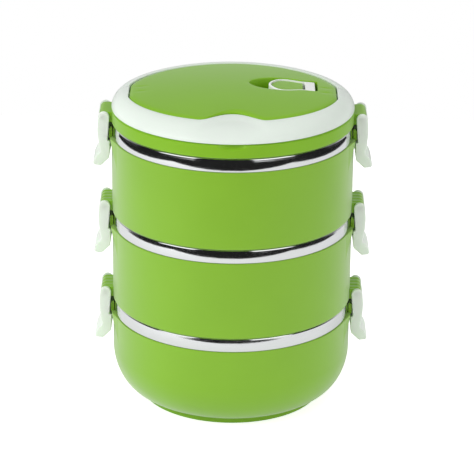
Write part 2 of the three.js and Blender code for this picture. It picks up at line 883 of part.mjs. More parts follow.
// The pair of latches and pins at one joint: the left one is the right one turned half round.
function placeLatches(prefix, height) {
  for (const side of ['right', 'left']) {
    const holder = new THREE.Group();
    holder.position.z = height;
    holder.rotation.z = side === 'left' ? Math.PI : 0;
    place(holder, `${prefix}_${side}_latch`, latch(), 'mint');
    place(holder, `${prefix}_${side}_pin`, latchPin(), 'steel');
    carrier.add(holder);
  }
}

place(carrier, 'bottom_shell', bottomShell(), 'green');
place(carrier, 'bottom_bowl', bottomBowl(), 'steel');
['middle', 'top'].forEach((name, i) => {
  const base = jointHeights[i];
  place(carrier, `${name}_shell`, upperShell(base), 'green');
  place(carrier, `${name}_bowl`, upperBowl(base), 'steel');
  place(carrier, `${name}_seal`, seal(base), 'silicone');
  placeLatches(name, base);
});

const lidBase = jointHeights[2];
place(carrier, 'lid_shell', lidShell(lidBase), 'dome');
place(carrier, 'lid_liner', lidLiner(lidBase), 'white');
place(carrier, 'lid_seal', seal(lidBase), 'silicone');
place(carrier, 'rear_trim', rearTrim(lidBase), 'white');
place(carrier, 'carry_handle', carryHandle(lidBase), 'white');
place(carrier, 'vent_lever', ventLever(lidBase), 'white');
place(carrier, 'vent_inlay', ventInlay(lidBase), 'green');
place(carrier, 'vent_plug', ventPlug(lidBase), 'silicone');
place(carrier, 'vent_pin', ventPin(lidBase), 'steel');
placeLatches('lid', lidBase);

export default carrier;
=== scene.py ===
"""A round lunch carrier of three stacked tiers, dressed round its frame, in metres."""

import json
import math

import bmesh
import bpy
import numpy as np
from bpy.props import FloatProperty, FloatVectorProperty, PointerProperty
from bpy.types import Operator, Panel, PropertyGroup
from mathutils import Matrix, Vector


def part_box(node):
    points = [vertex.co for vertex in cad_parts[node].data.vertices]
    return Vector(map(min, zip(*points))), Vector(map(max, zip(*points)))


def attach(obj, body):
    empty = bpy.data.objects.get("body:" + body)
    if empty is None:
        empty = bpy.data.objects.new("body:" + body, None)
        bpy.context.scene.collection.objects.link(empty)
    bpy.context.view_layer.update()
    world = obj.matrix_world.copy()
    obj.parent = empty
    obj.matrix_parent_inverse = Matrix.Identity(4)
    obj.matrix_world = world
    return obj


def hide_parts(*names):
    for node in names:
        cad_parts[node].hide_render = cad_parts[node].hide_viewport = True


bl_info = {
    "name": "Stacked Lunch Carrier",
    "version": (1, 0, 0),
    "blender": (4, 5, 0),
    "location": "3D View > Sidebar > Carrier",
    "description": "Round lunch carrier with steel bands, latches, folding handle and steam vent",
    "category": "Add Mesh",
}

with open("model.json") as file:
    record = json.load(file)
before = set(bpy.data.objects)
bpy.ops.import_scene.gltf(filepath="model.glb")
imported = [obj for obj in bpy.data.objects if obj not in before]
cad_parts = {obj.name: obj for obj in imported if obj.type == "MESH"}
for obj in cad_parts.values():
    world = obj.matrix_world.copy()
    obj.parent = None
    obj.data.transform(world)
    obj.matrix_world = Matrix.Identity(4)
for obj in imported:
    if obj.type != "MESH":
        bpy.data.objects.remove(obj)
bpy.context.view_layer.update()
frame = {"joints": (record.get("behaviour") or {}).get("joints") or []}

MM = 0.001
TIERS = ("middle", "top", "lid")
SIDES = {"right": 1.0, "left": -1.0}
SHARP = math.radians(35)

# Places taken from the frame
BODY_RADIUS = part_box("bottom_shell")[1].y
JOINT = {tier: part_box(f"{tier}_seal")[0].z for tier in TIERS}
BASE = {"bottom": 0.0, **JOINT}
TOP = {"bottom": JOINT["middle"], "middle": JOINT["top"], "top": JOINT["lid"]}
PIVOT = {j["child"]: Vector(j["pos_m"]) for j in frame["joints"] if j["type"] == "hinge"}
EAR = 2.2 * MM  # a latch's ear with the gap beside it
LUG_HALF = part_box("middle_right_latch")[1].y - EAR
LEVER_TIP, HEEL_END = (corner.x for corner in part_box("vent_lever"))
PLUG_LOW, PLUG_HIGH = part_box("vent_plug")
PLUG_X = (PLUG_LOW.x + PLUG_HIGH.x) / 2
VENT_Y = PIVOT["vent"].y

# Small measures that several pieces share
SOFT = 0.3 * MM  # rounding of small corners
HAIR = 0.001 * MM  # keeps two cutting faces from meeting in one plane
NEAR = 0.01 * MM  # places closer than this count as the same
WELL_PAST = 10 * MM  # how far a cutting block reaches past what it cuts
PIN_EDGE = 0.2 * MM  # rounding of a pin's ends

# Outside of a latch below its pivot: millimetres past the ear, and share of the latch's drop
BELLY = ((0.5, 0.15), (-0.2, 0.46), (-1.0, 0.66), (1.5, 0.77), (3.3, 0.93))

# Name, place, width and height of each lamp, and the point that both are aimed at, in metres
LAMPS = (("key", (-0.9, -0.6, 0.8), (0.8, 0.8)), ("fill", (1.1, -0.3, 0.4), (0.7, 0.9)))
AIM = Vector((0, 0, 0.1))

# What gloss and metal see: the angle that the first range is for, that range, the range of heights
# and the softness, all in degrees, and the strength. A turn of 0 is straight in front.
ROOM = (
    ("turn", -72, -35, -2, 48, 1.5, 1.3),  # soft box in front at the left
    ("turn", 20, 60, -2, 48, 1.5, 1.3),  # soft box in front at the right
    ("aside", 112, 190, -5, 16, 8, 0.7),  # pale foot of the wall behind
    ("aside", 100, 190, -5, 95, 8, 0.25),  # wall behind
    ("up", 55, 95, -95, 95, 6, 0.5),  # ceiling
)
ROOM_DARK = 0.015


def length(name, millimetres, description):
    """A size in metres, written in millimetres."""
    return FloatProperty(
        name=name, description=description, default=millimetres * MM, unit="LENGTH", precision=5
    )


def factor(name, value, description):
    """A share or a strength, mostly between 0 and 1."""
    return FloatProperty(name=name, description=description, default=value, subtype="FACTOR")


def number(name, value, description):
    """A plain number."""
    return FloatProperty(name=name, description=description, default=value)


def degrees(name, value, description):
    """An angle in radians, written in degrees."""
    value = math.radians(value)
    return FloatProperty(name=name, description=description, default=value, subtype="ANGLE")


def colour(name, rgb, description):
    """A colour, written as the sRGB values of its eight-bit picture."""
    linear = [((v / 255 + 0.055) / 1.055) ** 2.4 for v in rgb]
    return FloatVectorProperty(
        name=name, description=description, default=linear, subtype="COLOR", min=0.0, max=1.0
    )


class CarrierTiers(PropertyGroup):
    """Sizes of the plastic shells, steel bowls and seals."""

    gap: length("Gap", 0.3, "Gap between pieces that touch")
    wall: length("Wall", 2.4, "Wall of a plastic shell")
    skirt: length("Skirt", 1.6, "Wall of the edge that hangs round a seal")
    floor: length("Floor", 2.0, "Thickness of a shell's floor")
    corner: length("Corner", 8.0, "Inside radius between wall and floor of an upper tier")
    lip_inset: length("Lip inset", 5.0, "Body radius to the outside of the centring lip")
    lip_wall: length("Lip wall", 1.4, "Wall of the centring lip")
    lip_depth: length("Lip depth", 5.0, "How far the lip reaches into the bowl below")
    edge: length("Edge", 0.9, "Rounding of a shell's outer edges")
    foot_inset: length("Foot inset", 17.0, "Body radius to the outside of the foot")
    foot_width: length("Foot width", 3.0, "Width of the foot ring")
    foot_height: length("Foot height", 4.3, "Height of the foot ring")
    ledge: length("Ledge", 0.6, "Flat step between foot and curve")
    curve_rise: length("Curve rise", 25.2, "Height of the curved underside")
    curve_power: number("Curve power", 1.9, "2 is a quarter ellipse")
    steel: length("Steel", 0.6, "Thickness of the bowls' sheet")
    band: length("Band", 8.5, "Height of the steel band that shows")
    band_inset: length("Band inset", 0.5, "Body radius to the band's widest line")
    band_widest: factor("Band widest", 0.34, "Share of the band's height below its widest line")
    band_bulge: length("Band bulge", 24.0, "Radius that the band's face is rolled to")
    rim_round: length("Rim", 1.3, "Rounding of the bowls' folded rim")
    seal: length("Seal", 2.1, "Height of a seal")
    seal_inset: length("Seal inset", 1.9, "Body radius to the outside of a seal")


class CarrierFittings(PropertyGroup):
    """Sizes of the lugs, catches, fairings and latches at the sides."""

    barrel: length("Barrel", 2.8, "Radius of a lug's barrel")
    lug_low: length("Lug underside", 0.4, "Joint to the lug's underside")
    lug_edge: length("Lug edge", 0.45, "Rounding of a lug's ends")
    lug_root: length("Lug root", 1.5, "How far a lug is rooted in the body")
    groove: length("Groove", 0.38, "Depth of the grooves over a lug")
    grooves: number("Grooves", 4.0, "How many grooves run over a lug")
    catch_top: length("Catch top", 2.5, "Joint down to a catch's top")
    catch_low: length("Catch underside", 10.2, "Joint down to a catch's underside")
    catch_slope: length("Catch slope", 1.0, "Bevel at a catch's outer edges")
    catch_out: length("Catch standoff", 1.4, "How far a catch stands out of the body")
    catch_half: length("Catch half width", 9.8, "Half the width of a catch")
    catch_root: length("Catch root", 1.2, "How far a catch is rooted in the body")
    rib_groove: length("Rib groove", 0.28, "Depth of the grooves between a catch's ribs")
    ribs: number("Ribs", 7.0, "How many ribs stand on each half of a catch")
    fairing_out: length("Fairing standoff", 0.2, "How far a fairing stands out of the body")
    fairing_drop: length("Fairing drop", 24.0, "Joint down to a fairing's lower end")
    fairing_half: length("Fairing half width", 23.0, "Half the width of a fairing")
    fairing_flat: length("Fairing flat", 14.0, "Half the width of a fairing's flat middle")
    ear: length("Ear", 3.4, "Radius of a latch's ears")
    ear_wall: length("Ear wall", 1.9, "Thickness of a latch's ears")
    drop: length("Drop", 25.9, "Joint down to a latch's lower end")
    skin: length("Skin", 2.3, "Thickness of a latch's face")
    tab_skin: length("Tab skin", 0.8, "How much thicker the face is behind the finger tab")
    tab_end: length("Tab end", 6.0, "Latch's lower end up to its hollow back")
    barrel_gap: length("Barrel gap", 0.35, "Gap between a latch and the lug's barrel")
    bore_wall: length("Bore wall", 0.4, "Skin of an ear outside the pin")
    hook_out: length("Hook standoff", 0.5, "Body radius to a hook's nose")
    hook_top: length("Hook top", 10.8, "Joint down to a hook's top")
    hook_slope: length("Hook slope", 0.5, "Slope of a hook's top")
    hook_height: length("Hook height", 4.4, "Height of a hook")
    bevel: length("Latch rounding", 0.7, "Rounding of a latch's edges")
    pin: length("Pin", 1.2, "Radius of a latch pin")
    pin_end: length("Pin end", 1.2, "How far a pin reaches into each ear")


class CarrierLid(PropertyGroup):
    """Sizes of the lid, its dome and the white ring."""

    rim: length("Rim", 7.7, "Joint to the top of the lid's rim")
    chamfer: length("Chamfer", 0.5, "Chamfer of the rim")
    deck_step: length("Deck step", 0.4, "Deck above the rim")
    deck_wall: length("Deck wall", 2.0, "Thickness of the deck")
    deck_inner: length("Deck inner radius", 37.0, "Radius of the opening in the deck")
    dome_wall: length("Dome wall", 2.0, "Wall of the dome")
    dome_rise: length("Dome rise", 3.4, "Crown above the dome's edge")
    shoulder: length("Dome shoulder", 4.5, "Width of the rounding at the dome's edge")
    shoulder_drop: length("Shoulder drop", 1.3, "How far the dome falls in that rounding")
    sink: length("Sink mark", 0.25, "Depth of the two sink marks at each flank")
    sink_place: length("Mark place", 54.5, "Middle of the lid to a sink mark")
    sink_apart: length("Marks apart", 4.5, "Half the distance between the two marks")
    sink_long: length("Mark length", 3.0, "Half the length of a mark, across the lid")
    sink_wide: length("Mark width", 1.5, "Half the width of a mark")
    liner: length("Liner", 1.8, "Thickness of the liner")
    liner_ledge: length("Liner ledge", 5.0, "Width of the ledge over the liner")
    scoop_half: length("Scoop half width", 10.5, "Half the width of the finger scoop")
    scoop_depth: length("Scoop depth", 2.6, "Depth of the finger scoop")
    scoop_height: length("Scoop height", 3.5, "Height of the finger scoop")
    ring_inset: length("Ring inset", 0.1, "Body radius to the ring's outside")
    ring_seat: length("Ring seat", 0.5, "Deck to the ring's low edge")
    ring_height: length("Ring height", 8.7, "Height of the ring")
    ring_power: number("Ring power", 1.7, "Fullness of the ring's top")
    ring_wall: length("Ring wall", 2.6, "Wall of the ring")
    ring_edge: length("Ring edge", 0.55, "Rounding of the ring's inner edge")
    ring_gap: length("Ring gap", 0.6, "Gap between the ring and the dome")
    ring_rear: length("Ring rear", 15.6, "Body radius to the ring's inner edge behind")
    rear_power: number("Rear power", 1.85, "2 makes that edge an ellipse")
    ring_flank: length("Ring flank", 10.5, "Body radius to that edge's flat flanks")
    ring_side: length("Ring side", 9.0, "Body radius to its side semi-axis")
    ring_front: length("Ring front", 15.7, "Body radius to its front semi-axis")
    tongue: length("Tongue", 13.3, "Reach of the handle's finger tongue")
    tongue_half: length("Tongue half width", 17.3, "Half the width of the tongue")
    tongue_power: number("Tongue power", 2.3, "2 makes the tongue's outline a parabola")
    tongue_dish: length("Tongue dish", 0.5, "Depth of the dish in the tongue")
    dish_place: length("Dish place", 9.0, "Ring's inner edge to the middle of the dish")
    dish_half: length("Dish half width", 4.5, "Half the width of the dish")
    cheek: length("Cheek", 6.7, "Radius of the handle's cheeks")
    cheek_inset: length("Cheek inset", 2.8, "Body radius to the outside of a cheek")
    flange: length("Flange", 4.1, "Radius of the ring's thin edge that turns with the handle")
    boss: length("Boss", 2.0, "Radius of the handle's bosses")
    filling: length("Cheek filling", 0.8, "Ring's top down to what fills it at the cheeks")
    boss_reach: length("Boss reach", 2.6, "How far a boss reaches into the dome")


class CarrierVent(PropertyGroup):
    """Sizes of the steam vent."""

    gap: length("Vent gap", 0.5, "Gap round the lever")
    half: length("Lever half width", 11.6, "Half the width of the lever")
    nose: length("Lever nose", 9.2, "Lever's tip to its widest place")
    nose_power: number("Nose power", 0.6, "0.5 makes the tip an ellipse")
    heel_half: length("Heel half width", 8.9, "Half the width of the lever's heel")
    heel: length("Heel", 5.8, "Length of the heel")
    depth: length("Lever depth", 2.1, "Dome edge down to the lever's underside")
    heel_depth: length("Heel depth", 3.0, "Dome edge down to the heel's underside")
    sink: length("Lever sink", 0.4, "Lever's top below the dome's")
    inlay_sink: length("Inlay sink", 0.7, "Inlay's top below the lever's")
    tray: length("Tray", 1.2, "Thickness under the lever's tray")
    rim: length("Tray rim", 1.3, "Width of the lever's rim")
    slot: length("Tray slot", 1.4, "Slot between the inlay and the heel")
    end: length("Recess end", 11.5, "Ring flank to the recess's end")
    heel_floor: length("Heel floor", 4.5, "Pivot down to the recess floor at the heel")
    plug_floor: length("Plug floor", 2.7, "Pivot down to the recess floor under the lever")
    hollow: length("Hollow", 11.6, "Length of the finger hollow")
    hollow_power: number("Hollow power", 0.57, "Bluntness of the hollow's tip")
    pit: length("Pit", 3.0, "Recess floor under the lever's tip, below the rest")
    hollow_lip: length("Hollow lip", 1.2, "Dome's crown down to the hollow's high end")
    lip: length("Recess lip", 0.4, "Rounding of the recess's edge")
    edge: length("Lever edge", 0.45, "Rounding of the lever's edge")
    hole: length("Steam hole", 3.1, "Radius of the steam hole")
    pin: length("Vent pin", 1.0, "Radius of the vent's pin")


class CarrierFinish(PropertyGroup):
    """Colours and gloss."""

    shell: colour("Shells", (130, 182, 30), "Green of the tiers")
    lid: colour("Lid", (129, 184, 22), "Green of the lid")
    ring: colour("Ring", (229, 239, 229), "White of the handle and the trim")
    # The lever's own white with a painted highlight: set whiter than the ring's white for the light
    # that its flat top and rounded edges catch
    vent: colour("Vent lever", (248, 250, 248), "White of the vent's lever")
    latch: colour("Latches", (234, 244, 232), "Pale mint of the latches")
    liner: colour("Liner", (236, 240, 236), "White of the lid's liner")
    silicone: colour("Silicone", (232, 238, 232), "Seals and vent plug")
    steel: colour("Steel", (226, 228, 229), "Bowls and pins")
    grain: length("Grain", 0.9, "Size of the plastics' moulded grain")
    relief: length("Grain relief", 0.2, "Height that the grain's bump stands for")
    gloss: factor("Plastic roughness", 0.36, "Roughness of the green plastic")
    bloom: factor("Shell bloom", 0.6, "Pale sheen of the tiers where they turn away")
    lid_bloom: factor("Lid bloom", 0.16, "The same for the lid")
    bloom_spread: factor("Bloom spread", 0.42, "How far the sheen reaches in from an edge")
    polish: factor("Steel roughness", 0.09, "Roughness of the polished bands")


class CarrierStage(PropertyGroup):
    """Camera and light."""

    distance: length("Distance", 1425.9, "Camera to target")
    elevation: degrees("Elevation", 21.34, "Camera above the horizon")
    roll: degrees("Roll", 0.575, "Camera about its own axis")
    lens: number("Lens", 179.1, "Focal length in millimetres")
    target_x: length("Target X", 3.09, "Point that the camera looks at, along X")
    target_z: length("Target Z", 97.96, "Point that the camera looks at, along Z")
    sky: number("Sky", 0.7, "Strength of the even light")
    key: number("Key", 7.5, "Power of the lamp at the left")
    fill: number("Fill", 2.2, "Power of the lamp at the right")
    floor_front: length("Floor front", 410.0, "How far the pale floor reaches in front")
    floor_side: length("Floor side", 560.0, "How far it reaches to each side")
    floor_back: length("Floor back", 520.0, "How far it reaches behind")
    floor_grey: factor("Floor grey", 0.86, "How pale the floor is")
    floor_glow: factor("Floor glow", 0.6, "Makes the floor white to the camera")
    floor_light: factor("Floor light", 0.12, "Glow of the floor that everything sees")


# Outlines and grids


def rounded(points, radius, closed=True, steps=5):
    """Corners that turn more than 20 degrees become arcs. Each is (1-t)^2 A + 2t(1-t) C + t^2 B,
    where C is the corner and A and B lie on its sides, the radius or 45% of the side away."""
    points = np.asarray(points, float)
    back, ahead = np.roll(points, 1, 0) - points, np.roll(points, -1, 0) - points
    back_length, ahead_length = (np.linalg.norm(v, axis=1) for v in (back, ahead))
    reach = np.minimum(radius, 0.45 * np.minimum(back_length, ahead_length))
    with np.errstate(divide="ignore", invalid="ignore"):
        back, ahead = back / back_length[:, None], ahead / ahead_length[:, None]
    turn = np.degrees(np.arccos(np.clip(-(back * ahead).sum(1), -1, 1)))
    corner = turn > 20
    if not closed:
        corner[[0, -1]] = False
    t = np.linspace(0, 1, steps + 1)[None, :, None]
    start, end = (points + v * reach[:, None] for v in (back, ahead))
    arcs = (1 - t) ** 2 * start[:, None] + 2 * t * (1 - t) * points[:, None] + t**2 * end[:, None]
    return np.concatenate([arcs[i] if corner[i] else points[i : i + 1] for i in range(len(points))])


def wall_to_floor(outer, high, inner, low, power=2.0, steps=20):
    """Quarter superellipse from the wall at (outer, high) to the floor at (inner, low)."""
    angle = np.linspace(0, np.pi / 2, steps + 1)
    across = np.cos(angle).clip(0) ** (2 / power)
    down = np.sin(angle) ** (2 / power)
    return np.stack([inner + (outer - inner) * across, high - (high - low) * down], 1)


def straight(start, end, steps):
    """Evenly spaced points from start to end, both included."""
    return np.linspace(np.asarray(start, float), np.asarray(end, float), steps + 1)


def flowing(points, steps=8):
    """Catmull-Rom curve through the points, with straight-on ends."""
    points = np.asarray(points, float)
    padded = np.concatenate([2 * points[:1] - points[1:2], points, 2 * points[-1:] - points[-2:-1]])
    a, b, c, d = (padded[i : len(padded) - 3 + i, None] for i in range(4))
    t = np.linspace(0, 1, steps, endpoint=False)[None, :, None]
    square, cube = 2 * a - 5 * b + 4 * c - d, 3 * b - a - 3 * c + d
    curve = (2 * b + (c - a) * t + square * t**2 + cube * t**3) / 2
    return np.concatenate([curve.reshape(-1, points.shape[1]), points[-1:]])


def arc(centre, radius, start, end, steps=12):
    """Points on a circle from one angle in degrees to another."""
    angle = np.radians(np.linspace(start, end, steps + 1))
    return np.stack([centre[0] + radius * np.cos(angle), centre[1] + radius * np.sin(angle)], 1)


def round_angles(steps):
    """Even steps of a full turn, without its end."""
    return np.linspace(0, 2 * np.pi, steps, endpoint=False)


def around(radius, angle, height):
    """Points at a radius and a height, at an angle round the Z axis."""
    return np.stack([radius * np.cos(angle), radius * np.sin(angle), height + 0 * angle], -1)


def quarter(steps):
    """A quarter turn's rounding: how far in, 1 - cos, and how far short of its top, 1 - sin."""
    turn = np.linspace(0, np.pi / 2, steps)
    return np.stack([1 - np.cos(turn), 1 - np.sin(turn)], 1)


def softened_max(value, width):
    """The larger of value and 0, with a bend about as wide as width."""
    return (value + np.sqrt(value**2 + width**2)) / 2


def smooth_step(value):
    """0 below 0, 1 above 1 and an even S between."""
    t = np.clip(value, 0, 1)
    return t * t * (3 - 2 * t)


def outwards(curve):
    """Unit normals of a closed curve, [points, 2], that point away from what it goes round."""
    along = np.roll(curve, -1, 0) - np.roll(curve, 1, 0)
    normal = np.stack([along[:, 1], -along[:, 0]], 1)
    normal /= np.linalg.norm(normal, axis=1)[:, None]
    area = np.sum(curve[:, 0] * np.roll(curve[:, 1], -1) - curve[:, 1] * np.roll(curve[:, 0], -1))
    return normal if area > 0 else -normal


def added(name, data):
    """A new object in the scene."""
    made = bpy.data.objects.new(name, data)
    bpy.context.scene.collection.objects.link(made)
    return made


def new_piece(name, vertices, faces):
    """A mesh object with doubled points merged and its faces turned outwards."""
    mesh = bpy.data.meshes.new(name)
    mesh.from_pydata(vertices.tolist(), [], faces)
    build = bmesh.new()
    build.from_mesh(mesh)
    bmesh.ops.remove_doubles(build, verts=build.verts, dist=1e-7)
    bmesh.ops.recalc_face_normals(build, faces=build.faces)
    if build.calc_volume(signed=True) < 0:
        bmesh.ops.reverse_faces(build, faces=build.faces)
    build.to_mesh(mesh)
    build.free()
    return added(name, mesh)


def lofted(name, grid, ring=True):
    """Closed sections, grid[section, point, xyz], joined one to the next. They go round in a ring,
    or else the first and last are capped."""
    sections, points = grid.shape[:2]
    index = np.arange(sections * points).reshape(sections, points)
    here = index if ring else index[:-1]
    there = np.roll(index, -1, 0) if ring else index[1:]
    quads = np.stack([here, there, np.roll(there, -1, 1), np.roll(here, -1, 1)], -1)
    faces = quads.reshape(-1, 4).tolist()
    if not ring:
        faces += [index[0].tolist(), index[-1, ::-1].tolist()]
    return new_piece(name, grid.reshape(-1, 3), faces)


def turned_grid(profile, steps):
    """A profile of [radius, height] points carried round the Z axis."""
    return around(profile[None, :, 0], round_angles(steps)[:, None], profile[None, :, 1])


def turned(name, profile, steps=256):
    """A piece whose section is carried round the Z axis."""
    return lofted(name, turned_grid(profile, steps))


def across(name, outline, half, middle=0.0):
    """An outline in X and Z carried along Y."""
    grid = np.empty((2, len(outline), 3))
    grid[..., ::2] = outline
    grid[..., 1] = np.array([[middle - half], [middle + half]])
    return lofted(name, grid, ring=False)


def bar_x(name, radius, start, end, centre, steps=48):
    """A round bar along X."""
    grid = np.empty((2, steps, 3))
    grid[..., 0] = np.array([[start], [end]])
    grid[..., 1:] = arc(centre, radius, 0, 360, steps)[:-1]
    return lofted(name, grid, ring=False)


def bar_y(name, radius, half, centre, middle=0.0, steps=32, edge=0.0):
    """A round bar along Y with ends rounded by edge."""
    if not edge:
        return across(name, arc(centre, radius, 0, 360, steps)[:-1], half, middle)
    inwards, thinner = edge * quarter(5).T
    place = np.concatenate([inwards - half, (half - inwards)[::-1]])
    size = radius - np.concatenate([thinner, thinner[::-1]])
    grid = np.empty((len(place), steps, 3))
    grid[..., ::2] = np.array(centre) + size[:, None, None] * arc((0, 0), 1, 0, 360, steps)[:-1]
    grid[..., 1] = middle + place[:, None]
    return lofted(name, grid, ring=False)


def brick(name, low, high):
    """A box between two corners, for cutting."""
    outline = np.array([[low[0], low[2]], [high[0], low[2]], [high[0], high[2]], [low[0], high[2]]])
    return across(name, outline, (high[1] - low[1]) / 2, (high[1] + low[1]) / 2)


def settled(piece):
    """Makes the modifiers' result the mesh itself."""
    bpy.context.view_layer.update()
    evaluated = piece.evaluated_get(bpy.context.evaluated_depsgraph_get())
    result = bpy.data.meshes.new_from_object(evaluated)
    piece.modifiers.clear()
    piece.data = result
    return piece


def combined(piece, others, operation):
    """Cuts, joins or keeps what is common, one solid after the other, and removes the tools."""
    for other in others:
        step = piece.modifiers.new(operation.lower(), "BOOLEAN")
        step.operation = operation
        step.solver = "EXACT"
        step.object = other
    settled(piece)
    for other in others:
        bpy.data.objects.remove(other)
    return piece


def cut(piece, *tools):
    """Takes the tools out of the piece."""
    return combined(piece, tools, "DIFFERENCE")


def bevelled(piece, width, segments):
    """Rounds every sharp edge to a width."""
    step = piece.modifiers.new("rounding", "BEVEL")
    step.width = width
    step.segments = segments
    step.limit_method = "ANGLE"
    step.angle_limit = SHARP
    step.use_clamp_overlap = True
    return settled(piece)


def half_turned(piece, name):
    """The piece turned half round about Z, as a new one."""
    twin = added(name, piece.data.copy())
    place = np.empty(len(twin.data.vertices) * 3, np.float32)
    twin.data.vertices.foreach_get("co", place)
    place = place.reshape(-1, 3) * np.array([-1, -1, 1], np.float32)
    twin.data.vertices.foreach_set("co", place.ravel())
    twin.data.update()
    return twin


def joined(name, pieces):
    """Several meshes as one object."""
    build = bmesh.new()
    for piece in pieces:
        build.from_mesh(piece.data)
    mesh = bpy.data.meshes.new(name)
    build.to_mesh(mesh)
    build.free()
    for piece in pieces:
        bpy.data.objects.remove(piece)
    return added(name, mesh)


def body_of(tier):
    """The CAD body that a tier or the lid is."""
    return "lid" if tier == "lid" else f"{tier}_tier"


def dress(piece, finish, body, replaced):
    """Smooth shading, finish, and the body and CAD node that the piece belongs to."""
    mesh = piece.data
    mesh.materials.clear()
    mesh.materials.append(bpy.data.materials[finish])
    mesh.shade_smooth()
    mesh.set_sharp_from_angle(angle=SHARP)
    piece.modifiers.new("normals", "WEIGHTED_NORMAL").keep_sharp = True
    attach(piece, body)
    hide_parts(replaced)


# Materials


def node(tree, kind, inputs=None, **settings):
    """A node with its settings, and its inputs linked or set."""
    made = tree.nodes.new(kind)
    for key, value in settings.items():
        setattr(made, key, value)
    for key, value in (inputs or {}).items():
        if isinstance(value, bpy.types.NodeSocket):
            tree.links.new(value, made.inputs[key])
        else:
            made.inputs[key].default_value = value
    return made


def maths(tree, operation, *values):
    """The result of a sum on sockets and numbers."""
    made = node(tree, "ShaderNodeMath", dict(enumerate(values)), operation=operation)
    return made.outputs[0]


def noise(tree, place, scale, detail):
    """Soft noise of about 0 to 1 at a place on the object."""
    inputs = {"Vector": place, "Scale": scale, "Detail": detail}
    return node(tree, "ShaderNodeTexNoise", inputs).outputs["Fac"]


def finish_group(name, **numbers):
    """A node group that takes numbers and a colour, to give a height, a roughness and a colour.
    With it come its inputs and the place on the object."""
    tree = bpy.data.node_groups.new(name, "ShaderNodeTree")
    for label, value in numbers.items():
        socket = tree.interface.new_socket(label, in_out="INPUT", socket_type="NodeSocketFloat")
        socket.default_value = value
    tree.interface.new_socket("Color", in_out="INPUT", socket_type="NodeSocketColor")
    for label, kind in (("Height", "Float"), ("Roughness", "Float"), ("Color", "Color")):
        tree.interface.new_socket(label, in_out="OUTPUT", socket_type=f"NodeSocket{kind}")
    given = tree.nodes.new("NodeGroupInput").outputs
    return tree, given, node(tree, "ShaderNodeTexCoord").outputs["Object"]


def put_out(tree, height, roughness, colour, lift):
    """Ends a finish group. Its colour is the one given, times lift."""
    shade = node(tree, "ShaderNodeVectorMath", {0: colour, "Scale": lift}, operation="SCALE")
    results = {"Height": height, "Roughness": roughness, "Color": shade.outputs[0]}
    node(tree, "NodeGroupOutput", results)


def moulded_grain():
    """Fine even grain of a moulded face, slow waves in its gloss and faint flow shading."""
    tree, given, place = finish_group("Moulded Grain", Size=0.9 * MM, Roughness=0.36, Spread=0.05)
    slow_scale, shading, slow_relief = 28.0, 0.10, 6.0
    fine = noise(tree, place, maths(tree, "DIVIDE", 1.0, given["Size"]), 3.0)
    slow = noise(tree, place, slow_scale, 2.0)
    waves = maths(tree, "SUBTRACT", slow, 0.5)
    rough = maths(tree, "MULTIPLY_ADD", waves, given["Spread"], given["Roughness"])
    height = maths(tree, "MULTIPLY_ADD", slow, slow_relief, fine)
    lift = maths(tree, "MULTIPLY_ADD", waves, shading, 1.0)
    put_out(tree, height, rough, given["Color"], lift)


def turned_lines():
    """Fine lines that run round the Z axis, as left by spinning and polishing sheet metal: noise
    over the radius, the height and a very little of the angle, and a slow smear of the gloss."""
    tree, given, place = finish_group("Turned Lines", Roughness=0.1)
    stretch, fine_scale, wide_scale, smear_scale = 0.004, 2600.0, 500.0, 45.0
    streak_rough, smear_rough, streak_shade, least_rough = 0.10, 0.08, 0.12, 0.03
    split = node(tree, "ShaderNodeSeparateXYZ", {"Vector": place})
    x, y, z = (split.outputs[i] for i in range(3))
    squares = [maths(tree, "MULTIPLY", part, part) for part in (x, y)]
    radius = maths(tree, "SQRT", maths(tree, "ADD", *squares))
    angle = maths(tree, "MULTIPLY", maths(tree, "ARCTAN2", y, x), stretch)
    lines = node(tree, "ShaderNodeCombineXYZ", {"X": radius, "Y": angle, "Z": z}).outputs[0]
    fine, wide = noise(tree, lines, fine_scale, 4.0), noise(tree, lines, wide_scale, 2.0)
    streak = maths(tree, "SUBTRACT", fine, 0.5)
    cloud = maths(tree, "SUBTRACT", noise(tree, place, smear_scale, 3.0), 0.5)
    rough = maths(tree, "MULTIPLY_ADD", streak, streak_rough, given["Roughness"])
    rough = maths(tree, "MULTIPLY_ADD", cloud, smear_rough, rough)
    lift = maths(tree, "MULTIPLY_ADD", streak, streak_shade, 1.0)
    height = maths(tree, "ADD", fine, wide)
    put_out(tree, height, maths(tree, "MAXIMUM", rough, least_rough), given["Color"], lift)


def material_of(name, settings):
    """A material with constants on its shader's own sockets, its node tree and its shader."""
    material = bpy.data.materials.new(name)
    material.use_nodes = True
    shader = material.node_tree.nodes["Principled BSDF"]
    for socket, value in settings.items():
        shader.inputs[socket].default_value = value
    return material, material.node_tree, shader


def grained(name, group, inputs, bump, relief, settings):
    """A material whose colour, roughness and relief come from a finish group."""
    tree, shader = material_of(name, settings)[1:]
    surface = node(tree, "ShaderNodeGroup", inputs, node_tree=bpy.data.node_groups[group]).outputs
    raised = {"Height": surface["Height"], "Strength": bump, "Distance": relief}
    tree.links.new(surface["Color"], shader.inputs["Base Color"])
    tree.links.new(surface["Roughness"], shader.inputs["Roughness"])
    tree.links.new(node(tree, "ShaderNodeBump", raised).outputs["Normal"], shader.inputs["Normal"])


def plastic(finish, name, rgb, roughness, bump, inner_light=0.0, bloom=0.0):
    """Moulded plastic with grain, a little light inside and a pale sheen where it turns away."""
    inputs = {"Size": finish.grain, "Roughness": roughness, "Color": (*rgb, 1.0)}
    settings = {
        "IOR": 1.48,
        "Subsurface Weight": inner_light,
        "Subsurface Radius": (0.004, 0.005, 0.004),
        "Subsurface Scale": 1.0,
        "Sheen Weight": bloom,
        "Sheen Roughness": finish.bloom_spread,
    }
    grained(name, "Moulded Grain", inputs, bump, finish.relief, settings)


